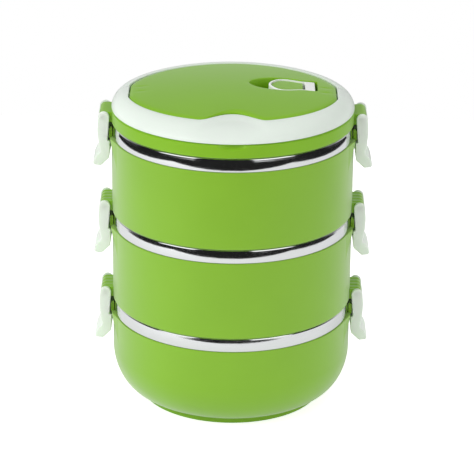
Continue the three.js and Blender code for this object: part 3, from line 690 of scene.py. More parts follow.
def metal(finish, name, roughness, bump):
    """Spun and polished steel with fine lines round the Z axis."""
    inputs = {"Roughness": roughness, "Color": (*finish.steel, 1.0)}
    grained(name, "Turned Lines", inputs, bump, finish.relief / 2, {"Metallic": 1.0})


def make_materials(finish):
    """Every finish, each with its own roughness and strength of bump."""
    moulded_grain()
    turned_lines()
    plastic(finish, "Green Shell", finish.shell, finish.gloss, 0.05, bloom=finish.bloom)
    plastic(finish, "Green Lid", finish.lid, finish.gloss, 0.05, bloom=finish.lid_bloom)
    plastic(finish, "White Ring", finish.ring, 0.32, 0.03, inner_light=0.15)
    # The vent lever's white carries a painted highlight, set whiter than the ring's white
    plastic(finish, "White Lever", finish.vent, 0.32, 0.03, inner_light=0.05)
    plastic(finish, "Mint Latch", finish.latch, 0.38, 0.03, inner_light=0.35)
    plastic(finish, "White Liner", finish.liner, 0.3, 0.02)
    plastic(finish, "Silicone", finish.silicone, 0.6, 0.08, inner_light=0.4)
    metal(finish, "Polished Steel", finish.polish, 0.04)
    metal(finish, "Pin Steel", 0.22, 0.05)


# Tiers


def fairing_reach(f, angle, height, top):
    """Radius of the fairings' faces in a direction and at a height: the nearer of a face that
    leans in towards its lower end and of the two chamfers beside it."""
    face = BODY_RADIUS + f.fairing_out
    foot = math.sqrt(BODY_RADIUS**2 - f.fairing_half**2)
    share = np.clip((top - f.catch_low - height) / (f.fairing_drop - f.catch_low), 0, None)
    front = (face - (face - foot) * share) / np.maximum(np.abs(np.cos(angle)), 1e-6)
    side = np.array([f.fairing_half - f.fairing_flat, face - foot])
    distance = side @ [face, f.fairing_flat]
    beside = distance / (side[0] * np.abs(np.cos(angle)) + side[1] * np.abs(np.sin(angle)))
    within = BODY_RADIUS * np.abs(np.sin(angle)) < f.fairing_half
    return np.where(within, np.minimum(front, beside), 0.9 * BODY_RADIUS)


def shell_grid(t, f, profile, top, steps=512):
    """The turned profile, whose outer wall is pushed out where the fairings stand proud of it."""
    bend, near = 0.25 * MM, 3 * MM
    angle = round_angles(steps)[:, None]
    radius, height = profile[None, :, 0], profile[None, :, 1]
    outer = (radius > BODY_RADIUS - t.edge) & (height < top - t.band + t.edge)
    proud = fairing_reach(f, angle, height, top) - BODY_RADIUS
    push = np.where(outer & (proud > -near), softened_max(proud, bend), 0)
    return around(radius + push, angle, height)


def band_face(t, top):
    """The band's outer face, from its foot up: an arc, widest a third of the way up."""
    low, high = top - t.band + t.gap, top - t.gap - t.rim_round
    height = np.linspace(low, high, 14)
    widest = low + t.band_widest * (high - low)
    radius = BODY_RADIUS - t.band_inset - (height - widest) ** 2 / (2 * t.band_bulge)
    return np.stack([radius, height], 1)


def neck_profile(t, top):
    """From the top of the outer wall, over the neck inside the band, to the inner wall."""
    inner, foot = BODY_RADIUS - t.wall, top - t.band
    neck = band_face(t, top)[-1, 0] - t.steel - t.gap
    crest = top - 2 * t.gap - t.rim_round
    return [[BODY_RADIUS, foot], [neck, foot], [neck, crest], [inner, crest]]


def bottom_profile(t):
    """Section of the lowest shell, from the axis outwards and back: foot, curve, wall, neck,
    inside."""
    foot, sole = BODY_RADIUS - t.foot_inset, t.foot_height
    curve_in, curve_top = foot + t.ledge, sole + t.curve_rise
    outside = wall_to_floor(BODY_RADIUS, curve_top, curve_in, sole, t.curve_power, 40)[::-1]
    floor, inner = sole + t.floor, BODY_RADIUS - t.wall
    inside = wall_to_floor(inner, curve_top, curve_in, floor, t.curve_power, 24)
    foot_in = foot - t.foot_width
    step = [[0, sole], [foot_in, sole], [foot_in, 0], [foot, 0], [foot, sole]]
    wall = straight(outside[-1], [BODY_RADIUS, TOP["bottom"] - t.band - t.edge], 30)[1:]
    neck = neck_profile(t, TOP["bottom"])
    return np.concatenate([step, outside, wall, neck, inside, [[0, floor]]])


def upper_profile(t, tier):
    """Section of an upper shell, from the axis outwards and back: roof, lip, skirt, wall, neck,
    inside."""
    base, top = BASE[tier], TOP[tier]
    roof, lip_end = base + t.seal + t.gap, base - t.lip_depth
    floor, inner, skirt = roof + t.floor, BODY_RADIUS - t.wall, BODY_RADIUS - t.skirt
    lip_out = BODY_RADIUS - t.lip_inset
    lip_in = lip_out - t.lip_wall
    lip = [[0, roof], [lip_in, roof], [lip_in, lip_end], [lip_out, lip_end], [lip_out, roof]]
    edge = [[skirt, roof], [skirt, base], [BODY_RADIUS, base]]
    wall = straight([BODY_RADIUS, base + 2 * t.edge], [BODY_RADIUS, top - t.band - t.edge], 60)
    inside = wall_to_floor(inner, floor + t.corner, inner - t.corner, floor, 2.0, 12)
    return np.concatenate([lip, edge, wall, neck_profile(t, top), inside, [[0, floor]]])


def eased(t, profile):
    """Rounds the corners: full roundings on the outer wall, small ones elsewhere."""
    small = 0.35 * MM
    outer = profile[:, 0] > BODY_RADIUS - NEAR
    return rounded(profile, np.where(outer, t.edge, small), closed=False)


def catch(t, f, top):
    """The ribbed ledge that a latch hooks, on the +X side. Sections follow the band round. The face
    is flat across, and its upright grooves go as a squared cosine."""
    half_angle = math.asin(f.catch_half / BODY_RADIUS)
    angle = np.linspace(-half_angle, half_angle, 90)[:, None]
    face, root = BODY_RADIUS + f.catch_out, BODY_RADIUS - f.catch_root
    inside, toe = BODY_RADIUS - t.band_inset + t.gap, BODY_RADIUS + 0.1 * MM
    low, high = top - f.catch_low, top - f.catch_top
    outline = [
        [root, low],
        [toe, low],
        [face, low + f.catch_slope],
        [face, high - f.catch_slope],
        [face - f.catch_slope, high],
        [inside, high],
        [inside, top - t.band],
        [root, top - t.band],
    ]
    depth, height = rounded(outline, SOFT).T[:, None, :]
    along = BODY_RADIUS * np.sin(angle) / f.catch_half
    groove = f.rib_groove * np.cos(along * f.ribs * np.pi) ** 2
    share = np.clip((depth - inside) / (face - inside), 0, 1)
    flat = (depth - share * groove) / np.cos(angle)
    radius = inside + (flat - inside) * share + (1 - share) * (depth - inside)
    return lofted("catch", around(np.where(share > 0, radius, depth), angle, height), ring=False)


def lug(f, tier, grooved):
    """The lug that a latch hangs on, on the +X side: a barrel on a neck, carried along Y. It draws
    in at its ends on a quarter circle, and its grooves go as a squared cosine."""
    pivot = PIVOT[f"{tier}_right_latch"]
    edge, half = f.lug_edge, LUG_HALF
    ends = half - edge * quarter(6)[:, 0]
    y = np.concatenate([-ends, np.linspace(2 * edge - half, half - 2 * edge, 110), ends[::-1]])
    past = np.clip(np.abs(y) - (half - edge), 0, edge)
    inset = edge - np.sqrt(np.clip(edge**2 - past**2, 0, None))
    wave = np.clip(np.cos(np.pi * f.grooves * y / half + np.pi), 0, 1) ** 2
    radius = (f.barrel - inset - (f.groove * wave if grooved else 0))[:, None]
    low = (BASE[tier] + f.lug_low + inset)[:, None]
    turn = np.radians(np.linspace(-90, 90, 25))
    grid = np.zeros((len(y), len(turn) + 3, 3))
    grid[..., 0] = BODY_RADIUS - f.lug_root
    grid[..., 1] = y[:, None]
    grid[:, :2, 2] = low
    grid[:, 1, 0] = pivot.x - f.barrel
    grid[:, 2:-1, 0] = pivot.x + radius * np.cos(turn)
    grid[:, 2:-1, 2] = pivot.z + radius * np.sin(turn)
    grid[:, -1, 2] = pivot.z + radius[:, 0]
    return lofted("lug", grid, ring=False)


def paired(make, *arguments):
    """A fitting of the +X side, and the same turned half round for the other side."""
    right = make(*arguments)
    return [right, half_turned(right, "twin")]


def make_shell(t, f, tier):
    """A tier's plastic shell: its turned section with fairings, two catches and the lugs."""
    profile = bottom_profile(t) if tier == "bottom" else upper_profile(t, tier)
    body = lofted("body", shell_grid(t, f, eased(t, profile), TOP[tier]))
    fittings = paired(catch, t, f, TOP[tier])
    if tier != "bottom":
        fittings += paired(lug, f, tier, True)
    shell = joined(f"{tier}_shell_moulding", [body, *fittings])
    dress(shell, "Green Shell", body_of(tier), f"{tier}_shell")


def make_bowl(t, tier):
    """The bowl's sheet: up the wall, over the rolled rim and down outside as the band."""
    outer = BODY_RADIUS - t.wall - t.gap
    if tier == "bottom":
        floor = t.foot_height + t.floor + t.gap
        reach, power = BODY_RADIUS - t.foot_inset + t.ledge, t.curve_power
        high = t.foot_height + t.curve_rise
    else:
        floor = BASE[tier] + t.seal + t.floor + 2 * t.gap
        reach, power = BODY_RADIUS - t.wall - t.corner, 2.0
        high = floor - t.gap + t.corner
    outside = wall_to_floor(outer, high, reach, floor, power, 24)[::-1]
    inside = wall_to_floor(outer - t.steel, high, reach, floor + t.steel, power, 24)
    band = band_face(t, TOP[tier])
    crest = TOP[tier] - t.gap
    fold_low, fold_high, band_top = crest - t.rim_round, crest - t.steel, band[-1, 0]
    fold = [
        [outer, fold_low],
        [outer + t.steel, fold_high],
        [band_top - 2 * t.steel, fold_high],
        [band_top - t.steel, fold_low],
        [band[0, 0] - t.steel, band[0, 1]],
    ]
    roll = arc((band_top - t.rim_round, fold_low), t.rim_round, 0, 90, 10)
    lead_in = arc((outer, fold_high), t.steel, 90, 180, 6)
    start, end = [[0, floor]], [[0, floor + t.steel]]
    profile = np.concatenate([start, outside, fold, band, roll, lead_in, inside, end])
    bowl = turned(f"{tier}_bowl_steel", profile, 384)
    dress(bowl, "Polished Steel", body_of(tier), f"{tier}_bowl")


def make_seal(t, tier):
    """A ring with a bevelled bead at its inner foot, turned round Z."""
    base, bead = BASE[tier], 0.8 * MM
    outer, inner = BODY_RADIUS - t.seal_inset, BODY_RADIUS - t.lip_inset + t.gap
    high = base + t.seal
    outline = [[inner, high], [inner, base + bead], [inner + bead, base]]
    outline += [[outer, base], [outer, high]]
    seal = turned(f"{tier}_seal_ring", rounded(outline, bead / 2))
    dress(seal, "Silicone", body_of(tier), f"{tier}_seal")


# Lid


def lid_levels(lid):
    """Heights of the lid's deck, the ring's low edge and the dome's edge."""
    deck = JOINT["lid"] + lid.rim + lid.deck_step
    ring_low = deck + lid.ring_seat
    return deck, ring_low, ring_low + lid.ring_height


def ring_inner(lid, steps):
    """Radius of the ring's inner edge by angle: half an ellipse in front, less a tongue that goes
    as 1 - u to a power, half a superellipse behind, and flat flanks. A bell-shaped mean blends the
    corners."""
    angle = round_angles(steps)
    c, s = np.abs(np.cos(angle)), np.sin(angle)
    power = np.where(s < 0, 2, lid.rear_power)
    end = BODY_RADIUS - np.where(s < 0, lid.ring_front, lid.ring_rear)
    side = BODY_RADIUS - lid.ring_side
    radius = ((c / side) ** power + (np.abs(s) / end) ** power) ** (-1 / power)
    radius = np.minimum(radius, (BODY_RADIUS - lid.ring_flank) / np.maximum(c, 1e-6))
    u = radius * c / lid.tongue_half
    tongue = np.where((s < 0) & (u < 1), 1 - u**lid.tongue_power, 0)
    blend = math.radians(1.3) * steps / (2 * np.pi)
    bell = np.exp(-0.5 * (np.arange(-12, 13) / blend) ** 2)
    bell = np.abs(np.fft.rfft(bell / bell.sum(), steps))
    smooth = np.fft.rfft(radius) * bell - np.fft.rfft(lid.tongue * tongue) * bell**2
    return angle, np.fft.irfft(smooth, steps)


def dome_height(lid, plan):
    """The dome's top: a paraboloid drawn in from front to back, with two shallow slanting sink
    marks near each flank, each a bell across and along."""
    x, y = plan.T
    slant = 0.2
    side, rear = BODY_RADIUS - lid.ring_side, BODY_RADIUS - lid.ring_rear
    height = lid_levels(lid)[2] + lid.dome_rise * (1 - (x / side) ** 2 - (y / rear) ** 2)
    for offset in (-lid.sink_apart, lid.sink_apart):
        out = (np.abs(x) - lid.sink_place - slant * (y - offset)) / lid.sink_long
        along = (y - offset) / lid.sink_wide
        height = height - lid.sink * np.exp(-(out**2) - along**2)
    return height


def nosed_side(v, grown, steps=40):
    """Half widths of the lever's nose, grown all round: (1 - u^2) to a power times the widest,
    where u runs from 1 at the tip to 0 at the widest place."""
    u = np.cos(np.linspace(0, np.pi / 2, steps))
    half = (v.half + grown) * (1 - u**2) ** v.nose_power
    return np.stack([LEVER_TIP + v.nose - u * (v.nose + grown), half], 1)


def hollow_side(v, steps=60):
    """Half widths of the finger hollow: the sine of a quarter turn times a power of the way
    along."""
    t = np.linspace(0, 1, steps) ** 2
    half = (v.half + v.gap) * np.sin(np.pi / 2 * t**v.hollow_power)
    return np.stack([LEVER_TIP - v.hollow + t * (v.hollow + v.nose), half], 1)


def vent_plan(v, front, grown, end, corner):
    """A closed plan about the vent's axis: the front side given, a cosine waist that ends at the
    heel, and straight on to an end with two round corners."""
    widest, start = LEVER_TIP + v.nose, HEEL_END - v.heel
    t = np.linspace(0, 1, 30)[1:]
    half = v.heel_half + grown + (v.half - v.heel_half) * (0.5 + 0.5 * np.cos(np.pi * t))
    waist = np.stack([widest + t * (start - widest), half], 1)
    side = np.concatenate([front, waist[waist[:, 0] < end - 2 * corner]])
    half = v.heel_half + grown
    low = arc((end - corner, corner - half), corner, -90, 0, 6)
    high = arc((end - corner, half - corner), corner, 0, 90, 6)
    last = straight(low[-1], high[0], 24)[1:-1]
    return np.concatenate([side * [1, -1], low, last, high, side[:0:-1]]) + [0, VENT_Y]


def lever_plan(v, grown, end, corner):
    """Plan of the lever, grown all round and ended where asked."""
    return vent_plan(v, nosed_side(v, grown), grown, end, corner)


def recess_plan(lid, v):
    """Plan of the recess: the finger hollow, and the gap round the lever."""
    end = BODY_RADIUS - lid.ring_flank - v.end
    return vent_plan(v, hollow_side(v), v.gap, end, 2 * SOFT)


def recess_floor(lid, v, plan):
    """Height of the recess's floor, by X alone: straight runs from the hollow's high end down to
    the pit under the lever's tip, up to the plug and down to the heel, blended by a 2 mm mean."""
    plug_floor, heel_floor = (PIVOT["vent"].z - depth for depth in (v.plug_floor, v.heel_floor))
    crown, heel = lid_levels(lid)[2] + lid.dome_rise, HEEL_END - v.heel
    pit = plug_floor - v.pit
    pit_start, pit_end, rise_end = LEVER_TIP + MM * np.array([-1, 3, 6])
    fall_start, fall_end = heel - MM * np.array([4, 1])
    run = np.array([LEVER_TIP - v.hollow, pit_start, pit_end, rise_end, fall_start, fall_end])
    height = np.array([crown - v.hollow_lip, pit, pit, plug_floor, plug_floor, heel_floor])
    near = np.linspace(-MM, MM, 9)
    return np.interp(plan[:, :1] + near, run, height).mean(1)


def polar(curve, centre):
    """Angle and radius of a closed curve about a centre, in rising order of angle."""
    offset = curve - centre
    angle, radius = np.arctan2(offset[:, 1], offset[:, 0]), np.hypot(*offset.T)
    order = np.argsort(angle)
    return angle[order], radius[order]


def seen_from(centre, curve, angle):
    """Points where rays from the centre, at these angles, meet the curve."""
    at, radius = polar(curve, centre)
    reach = np.interp(angle, at, radius, period=2 * np.pi)
    return centre + reach[:, None] * np.stack([np.cos(angle), np.sin(angle)], 1)


def ray_angles(centre, *curves, least=1e-4):
    """Angles from the centre to the points of all the curves, in order and without near doubles."""
    angle = np.sort(np.concatenate([polar(curve, centre)[0] for curve in curves]))
    return angle[np.append(True, np.diff(angle) > least)]


def shrunk(plan, distance):
    """A closed plan drawn in by a distance along its normals."""
    return plan - outwards(plan) * distance


def level(plan, height):
    """A plan curve lifted to a height, which may differ from point to point."""
    return np.column_stack([plan, np.broadcast_to(height, len(plan))])


def part_way(start, end, shares, height):
    """Curves part of the way from one plan to another, each lifted to its height."""
    middles = [start + (end - start) * share for share in shares]
    return [level(plan, height(plan)) for plan in middles]


def rolled(plan, inwards, reach, drop, top, steps):
    """Curves over an edge rounded as a quarter ellipse, from its foot up: they go inwards by the
    reach and come up to the top by the drop."""
    rows = [(plan + inwards * reach * inward, drop * short) for inward, short in quarter(steps)]
    return [level(at, top(at) - below) for at, below in rows]


def make_dome(lid, v):
    """Curves round the steam hole, one inside the other: up the dome's wall, over its edge, across
    the top to the vent's recess, down into it, across its floor and down the hole, then back under
    the wall thickness to the start. Rays from the hole's middle place their points."""
    angle, inner = ring_inner(lid, 840)
    outline = around(inner - lid.ring_gap, angle, 0)[:, :2]
    recess, centre = recess_plan(lid, v), np.array([PLUG_X, VENT_Y])
    rays = ray_angles(centre, outline, recess)
    wall, hole = seen_from(centre, outline, rays), seen_from(centre, recess, rays)
    pipe = centre + around(v.hole, rays, 0)[:, :2]
    out, thick, deck = outwards(hole), lid.dome_wall, lid_levels(lid)[0]
    inwards = (centre - wall) / np.linalg.norm(centre - wall, axis=1)[:, None]

    def top(plan):
        return dome_height(lid, plan)

    def floor(plan):
        return recess_floor(lid, v, plan)

    lip = np.clip(np.minimum(v.lip, 0.45 * (top(hole) - floor(hole))), 0.0, None)
    reach = lip[:, None]
    edge, brink, foot = wall + inwards * lid.shoulder, hole + out * reach, hole - out * reach
    under, back = hole + out * thick, wall - outwards(wall) * thick
    crest = top(wall).max() - lid.shoulder_drop

    def underside(plan):
        return np.minimum(top(plan) - thick, crest)

    rows = [
        level(wall, deck - MM),
        level(wall, deck + 2 * MM),
        *rolled(wall, inwards, lid.shoulder, lid.shoulder_drop, top, 12),
        *part_way(edge, brink, np.linspace(0, 1, 30)[1:-1] ** 1.5, top),
        *reversed(rolled(hole, out, reach, lip, top, 6)),
        *rolled(hole, -out, reach, -lip, floor, 6),
        *part_way(foot, pipe, np.linspace(0, 1, 21)[1:], floor),
        level(pipe, floor(pipe) - thick),
        *part_way(pipe, under, np.linspace(0, 1, 6)[1:], lambda plan: floor(plan) - thick),
        *part_way(under, back, np.linspace(0, 1, 5), underside),
        level(back, deck - MM),
    ]
    dome = lofted("lid_dome", np.stack(rows, 1))
    dress(dome, "Green Lid", "lid", "lid_shell")


def rim_profile(t, lid):
    """Section of the lid's rim: lip, skirt, face with chamfer, deck, underside and liner ledge.
    The face and the deck have close points as far as the finger scoop reaches."""
    base = JOINT["lid"]
    roof, lip_end, rim = base + t.seal + t.gap, base - t.lip_depth, base + lid.rim
    deck, deck_low = lid_levels(lid)[0], lid_levels(lid)[0] - lid.deck_wall
    lip_out, skirt = BODY_RADIUS - t.lip_inset, BODY_RADIUS - t.skirt
    lip_in = lip_out - t.lip_wall
    ledge, ledge_high, bevel = lip_in - lid.liner_ledge, roof + t.gap, lid.chamfer
    lip = [[lip_in, lip_end], [lip_out, lip_end], [lip_out, roof]]
    edge = [[skirt, roof], [skirt, base], [BODY_RADIUS, base]]
    face_end, close_end = rim - bevel - 0.2 * MM, BODY_RADIUS - 14 * MM
    face = straight([BODY_RADIUS, base + 2 * t.edge], [BODY_RADIUS, face_end], 16)
    upper = [[BODY_RADIUS, rim - bevel], [BODY_RADIUS - bevel, rim]]
    upper.append([BODY_RADIUS - 2 * bevel, deck])
    top = straight([BODY_RADIUS - 2.5 * bevel, deck], [close_end, deck], 24)
    inside = [[lid.deck_inner, deck], [lid.deck_inner, deck_low], [ledge, deck_low]]
    inside += [[ledge, ledge_high], [lip_in, ledge_high]]
    profile = np.concatenate([lip, edge, face, upper, top, inside])
    return rounded(profile, np.where(profile[:, 1] < base + NEAR, t.edge, SOFT))


def scooped(lid, grid):
    """Pushes the front of the rim in to an ellipsoid: y becomes the ellipsoid's near side, with a
    soft bend at the scoop's edge."""
    above, bend, give, front_depth, near_by = 0.2 * MM, 0.12 * MM, 0.03 * MM, 6 * MM, 0.4 * MM
    x, y, z = grid[..., 0], grid[..., 1], grid[..., 2]
    middle = JOINT["lid"] + lid.rim + above
    inside = 1 - (x / lid.scoop_half) ** 2 - ((z - middle) / lid.scoop_height) ** 2
    bowl = np.sqrt(np.clip(inside, 0, None))
    near = -BODY_RADIUS + lid.scoop_depth * (2 * bowl - 1)
    push = softened_max(near - y, bend) - give
    front = (y < front_depth - BODY_RADIUS) & (inside > 0) & (near > y - near_by)
    grid[..., 1] = y + np.where(front, np.maximum(push, 0), 0)
    return grid


def make_rim(t, f, lid):
    """The lid's rim and deck, with the scoop, the handle's two round pockets and the lugs."""
    rim = lofted("rim", scooped(lid, turned_grid(rim_profile(t, lid), 720)))
    clear = 0.1 * MM
    start = BODY_RADIUS - lid.ring_flank - lid.ring_gap + clear
    end = BODY_RADIUS - lid.cheek_inset + lid.ring_gap
    radius, centre = lid.cheek + lid.ring_gap, PIVOT["handle"].yz
    right = bar_x("pocket", radius, start, end, centre, 96)
    left = bar_x("pocket", radius, -end, -start, centre, 96)
    whole = joined("lid_rim", [cut(rim, right, left), *paired(lug, f, "lid", False)])
    dress(whole, "Green Lid", "lid", "lid_shell")


def make_liner(t, lid, v):
    """A round plate with the steam hole: circles from its edge to the hole, over and under."""
    circle, edge, draft = arc((0, 0), 1, 0, 360, 256)[:-1], 0.4 * MM, 0.4353 * MM
    outer = circle * (BODY_RADIUS - t.lip_inset - t.lip_wall - t.gap)
    hole = np.array([PLUG_X, VENT_Y]) + circle * v.hole
    high = JOINT["lid"] + t.seal + t.gap
    low = high - lid.liner
    rows = [level(outer, low + edge), level(outer, high), level(hole, high), level(hole, low)]
    rows.append(level(shrunk(outer, draft), low))
    plate = lofted("lid_liner_plate", np.stack(rows, 1))
    dress(plate, "White Liner", "lid", "lid_liner")


# White ring


def ring_sections(lid, inset=0.0, filled_to=None, steps=720):
    """Sections of the ring by angle: a superellipse from the inner edge over to the outer one, and
    either the same lowered by the wall, or straight down to a level. Inset shrinks the top. The
    tongue's dish is a bell across and a squared cosine along."""
    angle, inner = ring_inner(lid, steps)
    low, high = lid_levels(lid)[1:]
    turn = np.linspace(0, np.pi / 2, 22)
    over = np.sin(turn) ** (2 / lid.ring_power)
    up = np.cos(turn).clip(0) ** (2 / lid.ring_power)
    outer, inner = BODY_RADIUS - lid.ring_inset - inset, inner[:, None] + inset
    top_r = inner + (outer - inner) * over
    top_z = low + (high - inset - low) * up + 0 * inner
    if not inset:
        dish_end = 0.5
        ahead = (angle + 1.5 * np.pi) % (2 * np.pi) - np.pi
        along = np.cos(np.clip(ahead / dish_end, -1, 1) * np.pi / 2)[:, None] ** 2
        bell = np.exp(-(((top_r - inner - lid.dish_place) / lid.dish_half) ** 2))
        top_z = top_z - lid.tongue_dish * along * bell
    if filled_to is None:
        wall = lid.ring_wall
        under_r = inner + (outer - wall - inner) * over
        under_z = low + (high - wall - low) * up + 0 * inner
    else:
        under_r = np.concatenate([inner, outer + 0 * inner], 1)
        under_z = np.full_like(under_r, filled_to)
    start_r = inner + lid.ring_edge * np.array([0.0, 0.3, 1.0])
    start_z = high - inset - lid.ring_edge * np.array([1.0, 0.3, 0.0]) + 0 * inner
    top_r = np.maximum(top_r[:, 3:], start_r[:, -1:] + NEAR)
    radius = np.concatenate([start_r, top_r, under_r[:, ::-1]], 1)
    height = np.concatenate([start_z, top_z[:, 3:], under_z[:, ::-1]], 1)
    return around(radius, angle[:, None], height)


def handle_space(lid, grown):
    """What turns with the handle: all in front of the pivot, the cheeks and a bit of the thin
    edge."""
    centre = pivot_y, pivot_z = PIVOT["handle"].yz
    far, high = BODY_RADIUS + WELL_PAST, pivot_z + 3 * WELL_PAST
    cheek = BODY_RADIUS - lid.cheek_inset + grown
    front = brick("space", (-far, -far, JOINT["lid"]), (far, pivot_y + grown, high))
    discs = bar_x("discs", lid.cheek + grown, -cheek, cheek, centre, 128)
    flange = bar_x("flange", lid.flange + grown, -far - MM, far + MM, centre, 96)
    return combined(front, [discs, flange], "UNION")


def make_handle(lid):
    """The front of the ring, with round cheeks that fill it at its ends, and pivot bosses."""
    centre, bottom = PIVOT["handle"].yz, PIVOT["handle"].z - lid.cheek - MM
    parts = [combined(lofted("arch", ring_sections(lid)), [handle_space(lid, 0.0)], "INTERSECT")]
    flank, cheek = BODY_RADIUS - lid.ring_flank, BODY_RADIUS - lid.cheek_inset
    clear = 0.05 * MM
    for side in SIDES.values():
        ends = sorted((side * (flank + clear), side * cheek))
        disc = bar_x("disc", lid.cheek, *ends, centre, 128)
        filling = lofted("filling", ring_sections(lid, lid.filling, bottom))
        parts.append(combined(filling, [disc], "INTERSECT"))
        ends = sorted((side * (flank - lid.boss_reach), side * (flank + MM)))
        parts.append(bar_x("boss", lid.boss, *ends, centre))
    handle = joined("carry_handle_ring", parts)
    dress(handle, "White Ring", "handle", "carry_handle")


def make_trim(t, lid):
    """The fixed rear of the ring: what the handle's space, grown by the gap, leaves of it."""
    trim = cut(lofted("rear_trim_ring", ring_sections(lid)), handle_space(lid, t.gap))
    dress(trim, "White Ring", "lid", "rear_trim")


# Steam vent


def dished(name, rows):
    """Curves one inside the other; the first and last close on a point at their middles."""
    low, high = (np.broadcast_to(row.mean(0), row.shape) for row in (rows[0], rows[-1]))
    return lofted(name, np.stack([low, *rows, high], 1))


def make_lever(lid, v):
    """The lever: up its side, over its rounded edge, across its top to the tray and down into it;
    a flat underside that is deeper at the heel. The axle's hole and a slot at the heel are cut."""
    edge_level, tray_end = lid_levels(lid)[2], HEEL_END - v.heel
    outer_plan = lever_plan(v, 0.0, HEEL_END, 2 * SOFT)
    tray_plan = lever_plan(v, -v.rim, tray_end, SOFT)
    centre = np.array([(LEVER_TIP + tray_end) / 2, VENT_Y])
    rays = ray_angles(centre, outer_plan, tray_plan)
    outer, tray = seen_from(centre, outer_plan, rays), seen_from(centre, tray_plan, rays)
    foot, slope, axle_half = 0.4 * MM, 2 * MM, 12 * MM
    to_heel = smooth_step((outer[:, 0] - tray_end + slope) / slope)
    under = edge_level - v.depth - (v.heel_depth - v.depth) * to_heel

    def top(plan):
        return dome_height(lid, plan) - v.sink

    rows = [
        level(shrunk(outer, foot), under),
        level(outer, under + foot),
        *rolled(outer, -outwards(outer), v.edge, v.edge, top, 5),
        *part_way(shrunk(outer, v.edge), tray, np.linspace(0, 1, 7)[1:], top),
        level(tray, edge_level - v.depth + v.tray),
    ]
    lever = dished("vent_lever_tray", rows)
    axle = bar_y("axle", v.pin + SOFT, axle_half, PIVOT["vent"].xz, VENT_Y)
    side = v.heel_half - v.rim - SOFT
    low, high = edge_level - v.heel_depth - MM, edge_level + lid.dome_rise
    slot = brick("slot", (tray_end - v.slot, VENT_Y - side, low), (tray_end, VENT_Y + side, high))
    dress(cut(lever, axle, slot), "White Lever", "vent", "vent_lever")


def make_inlay(t, lid, v):
    """The green plate in the tray: it follows the dome, lower than the lever, and is rounded at its
    edge."""
    plan = lever_plan(v, -v.rim - t.gap, HEEL_END - v.heel - v.slot, SOFT)
    floor = lid_levels(lid)[2] - v.depth + v.tray + t.gap

    def top(inner):
        return dome_height(lid, inner) - v.sink - v.inlay_sink

    rim, middle = shrunk(plan, v.edge), plan.mean(0)
    rows = [
        level(plan, floor),
        *rolled(plan, -outwards(plan), v.edge, v.edge, top, 5),
        *part_way(rim, middle, np.linspace(0, 0.9, 7)[1:], top),
    ]
    inlay = dished("vent_inlay_plate", rows)
    dress(inlay, "Green Lid", "vent", "vent_inlay")


def make_plug():
    """A soft mushroom, turned about the steam hole: a stem that closes the hole, a flange and a
    stub in the lever."""
    low, high = PLUG_LOW.z, PLUG_HIGH.z
    flange, stem, stub, taper = (PLUG_HIGH.x - PLUG_LOW.x) / 2, 2.0 * MM, 1.2 * MM, 0.5 * MM
    seat, cap = low + stem, high - stub
    outline = [[0, low], [stem - taper, low], [stem, seat], [flange, seat]]
    outline += [[flange, cap], [stub, cap], [stub, high], [0, high]]
    grid = turned_grid(rounded(outline, SOFT, closed=False), 64) + [PLUG_X, VENT_Y, 0]
    dress(lofted("vent_plug_stopper", grid), "Silicone", "vent", "vent_plug")


def make_vent_pin(v):
    """A round pin along Y with rounded ends, as long as the CAD's."""
    low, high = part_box("vent_pin")
    half = (high.y - low.y) / 2
    pin = bar_y("vent_pin_rod", v.pin, half, PIVOT["vent"].xz, VENT_Y, edge=PIN_EDGE)
    dress(pin, "Pin Steel", "lid", "vent_pin")


# Latches


def latch_outline(f, pivot, base):
    """Side outline of a latch: round top, face that bellies out and draws in above the finger tab,
    slanted toe, and a straight inner edge with the hook."""
    inner, reach, end = BODY_RADIUS + f.hook_out, pivot.x + f.ear, base - f.drop
    crest = arc(pivot.xz, f.ear, 180, 0, 24)
    belly = [[reach + out * MM, base - share * f.drop] for out, share in BELLY]
    face = flowing([[reach, pivot.z], *belly])[1:]
    lip_out, lip_up, toe_out, shin_out = 2.6 * MM, 0.4 * MM, 1.9 * MM, 0.6 * MM
    shin_low, shin_high, corner = end + 4.6 * MM, end + 8 * MM, 0.5 * MM
    tail = [
        [reach + lip_out, end + lip_up],
        [pivot.x + toe_out, end],
        [inner + shin_out, shin_low],
        [inner, shin_high],
        [inner, base - f.hook_top],
        [inner + f.catch_out, base - f.hook_top + f.hook_slope],
    ]
    return rounded(np.concatenate([crest, face, tail]), corner, steps=4)


def make_latch(t, f, tier, side):
    """Outline carried along Y, with room cut for the lug, the catch and the tab's hollow back."""
    pivot, base = PIVOT[f"{tier}_right_latch"], JOINT[tier]
    inside, skin = LUG_HALF + t.gap, pivot.x + f.ear - f.skin
    half, above, hook = inside + f.ear_wall, pivot.z + WELL_PAST, base - f.hook_top
    outline = latch_outline(f, pivot, base)
    latch = bevelled(across(f"{tier}_{side}_latch_lever", outline, half), f.bevel, 4)
    room = [[0, hook], [BODY_RADIUS + f.hook_out, hook], [skin, hook + f.hook_slope]]
    room += [[skin, base], [pivot.x, base], [pivot.x, above], [0, above]]
    open_low = (pivot.x, 2 * HAIR - inside, pivot.z - f.pin)
    open_high = (pivot.x + WELL_PAST, inside - 2 * HAIR, above + MM)
    back_low = (0, HAIR - inside, base - f.drop + f.tab_end)
    back_high = (skin - f.tab_skin, inside, hook - f.hook_height)
    latch = cut(
        latch,
        across("room", room, inside),
        bar_y("barrel", f.barrel + f.barrel_gap, inside - HAIR, pivot.xz, steps=64),
        brick("open", open_low, open_high),
        brick("back", back_low, back_high),
        bar_y("bore", f.pin + t.gap, half - f.bore_wall, pivot.xz, steps=48),
    )
    body = f"{tier}_{side}_latch"
    if side == "left":
        name, latch.name = latch.name, "turned_round"
        right, latch = latch, half_turned(latch, name)
        bpy.data.objects.remove(right)
    dress(latch, "Mint Latch", body, body)


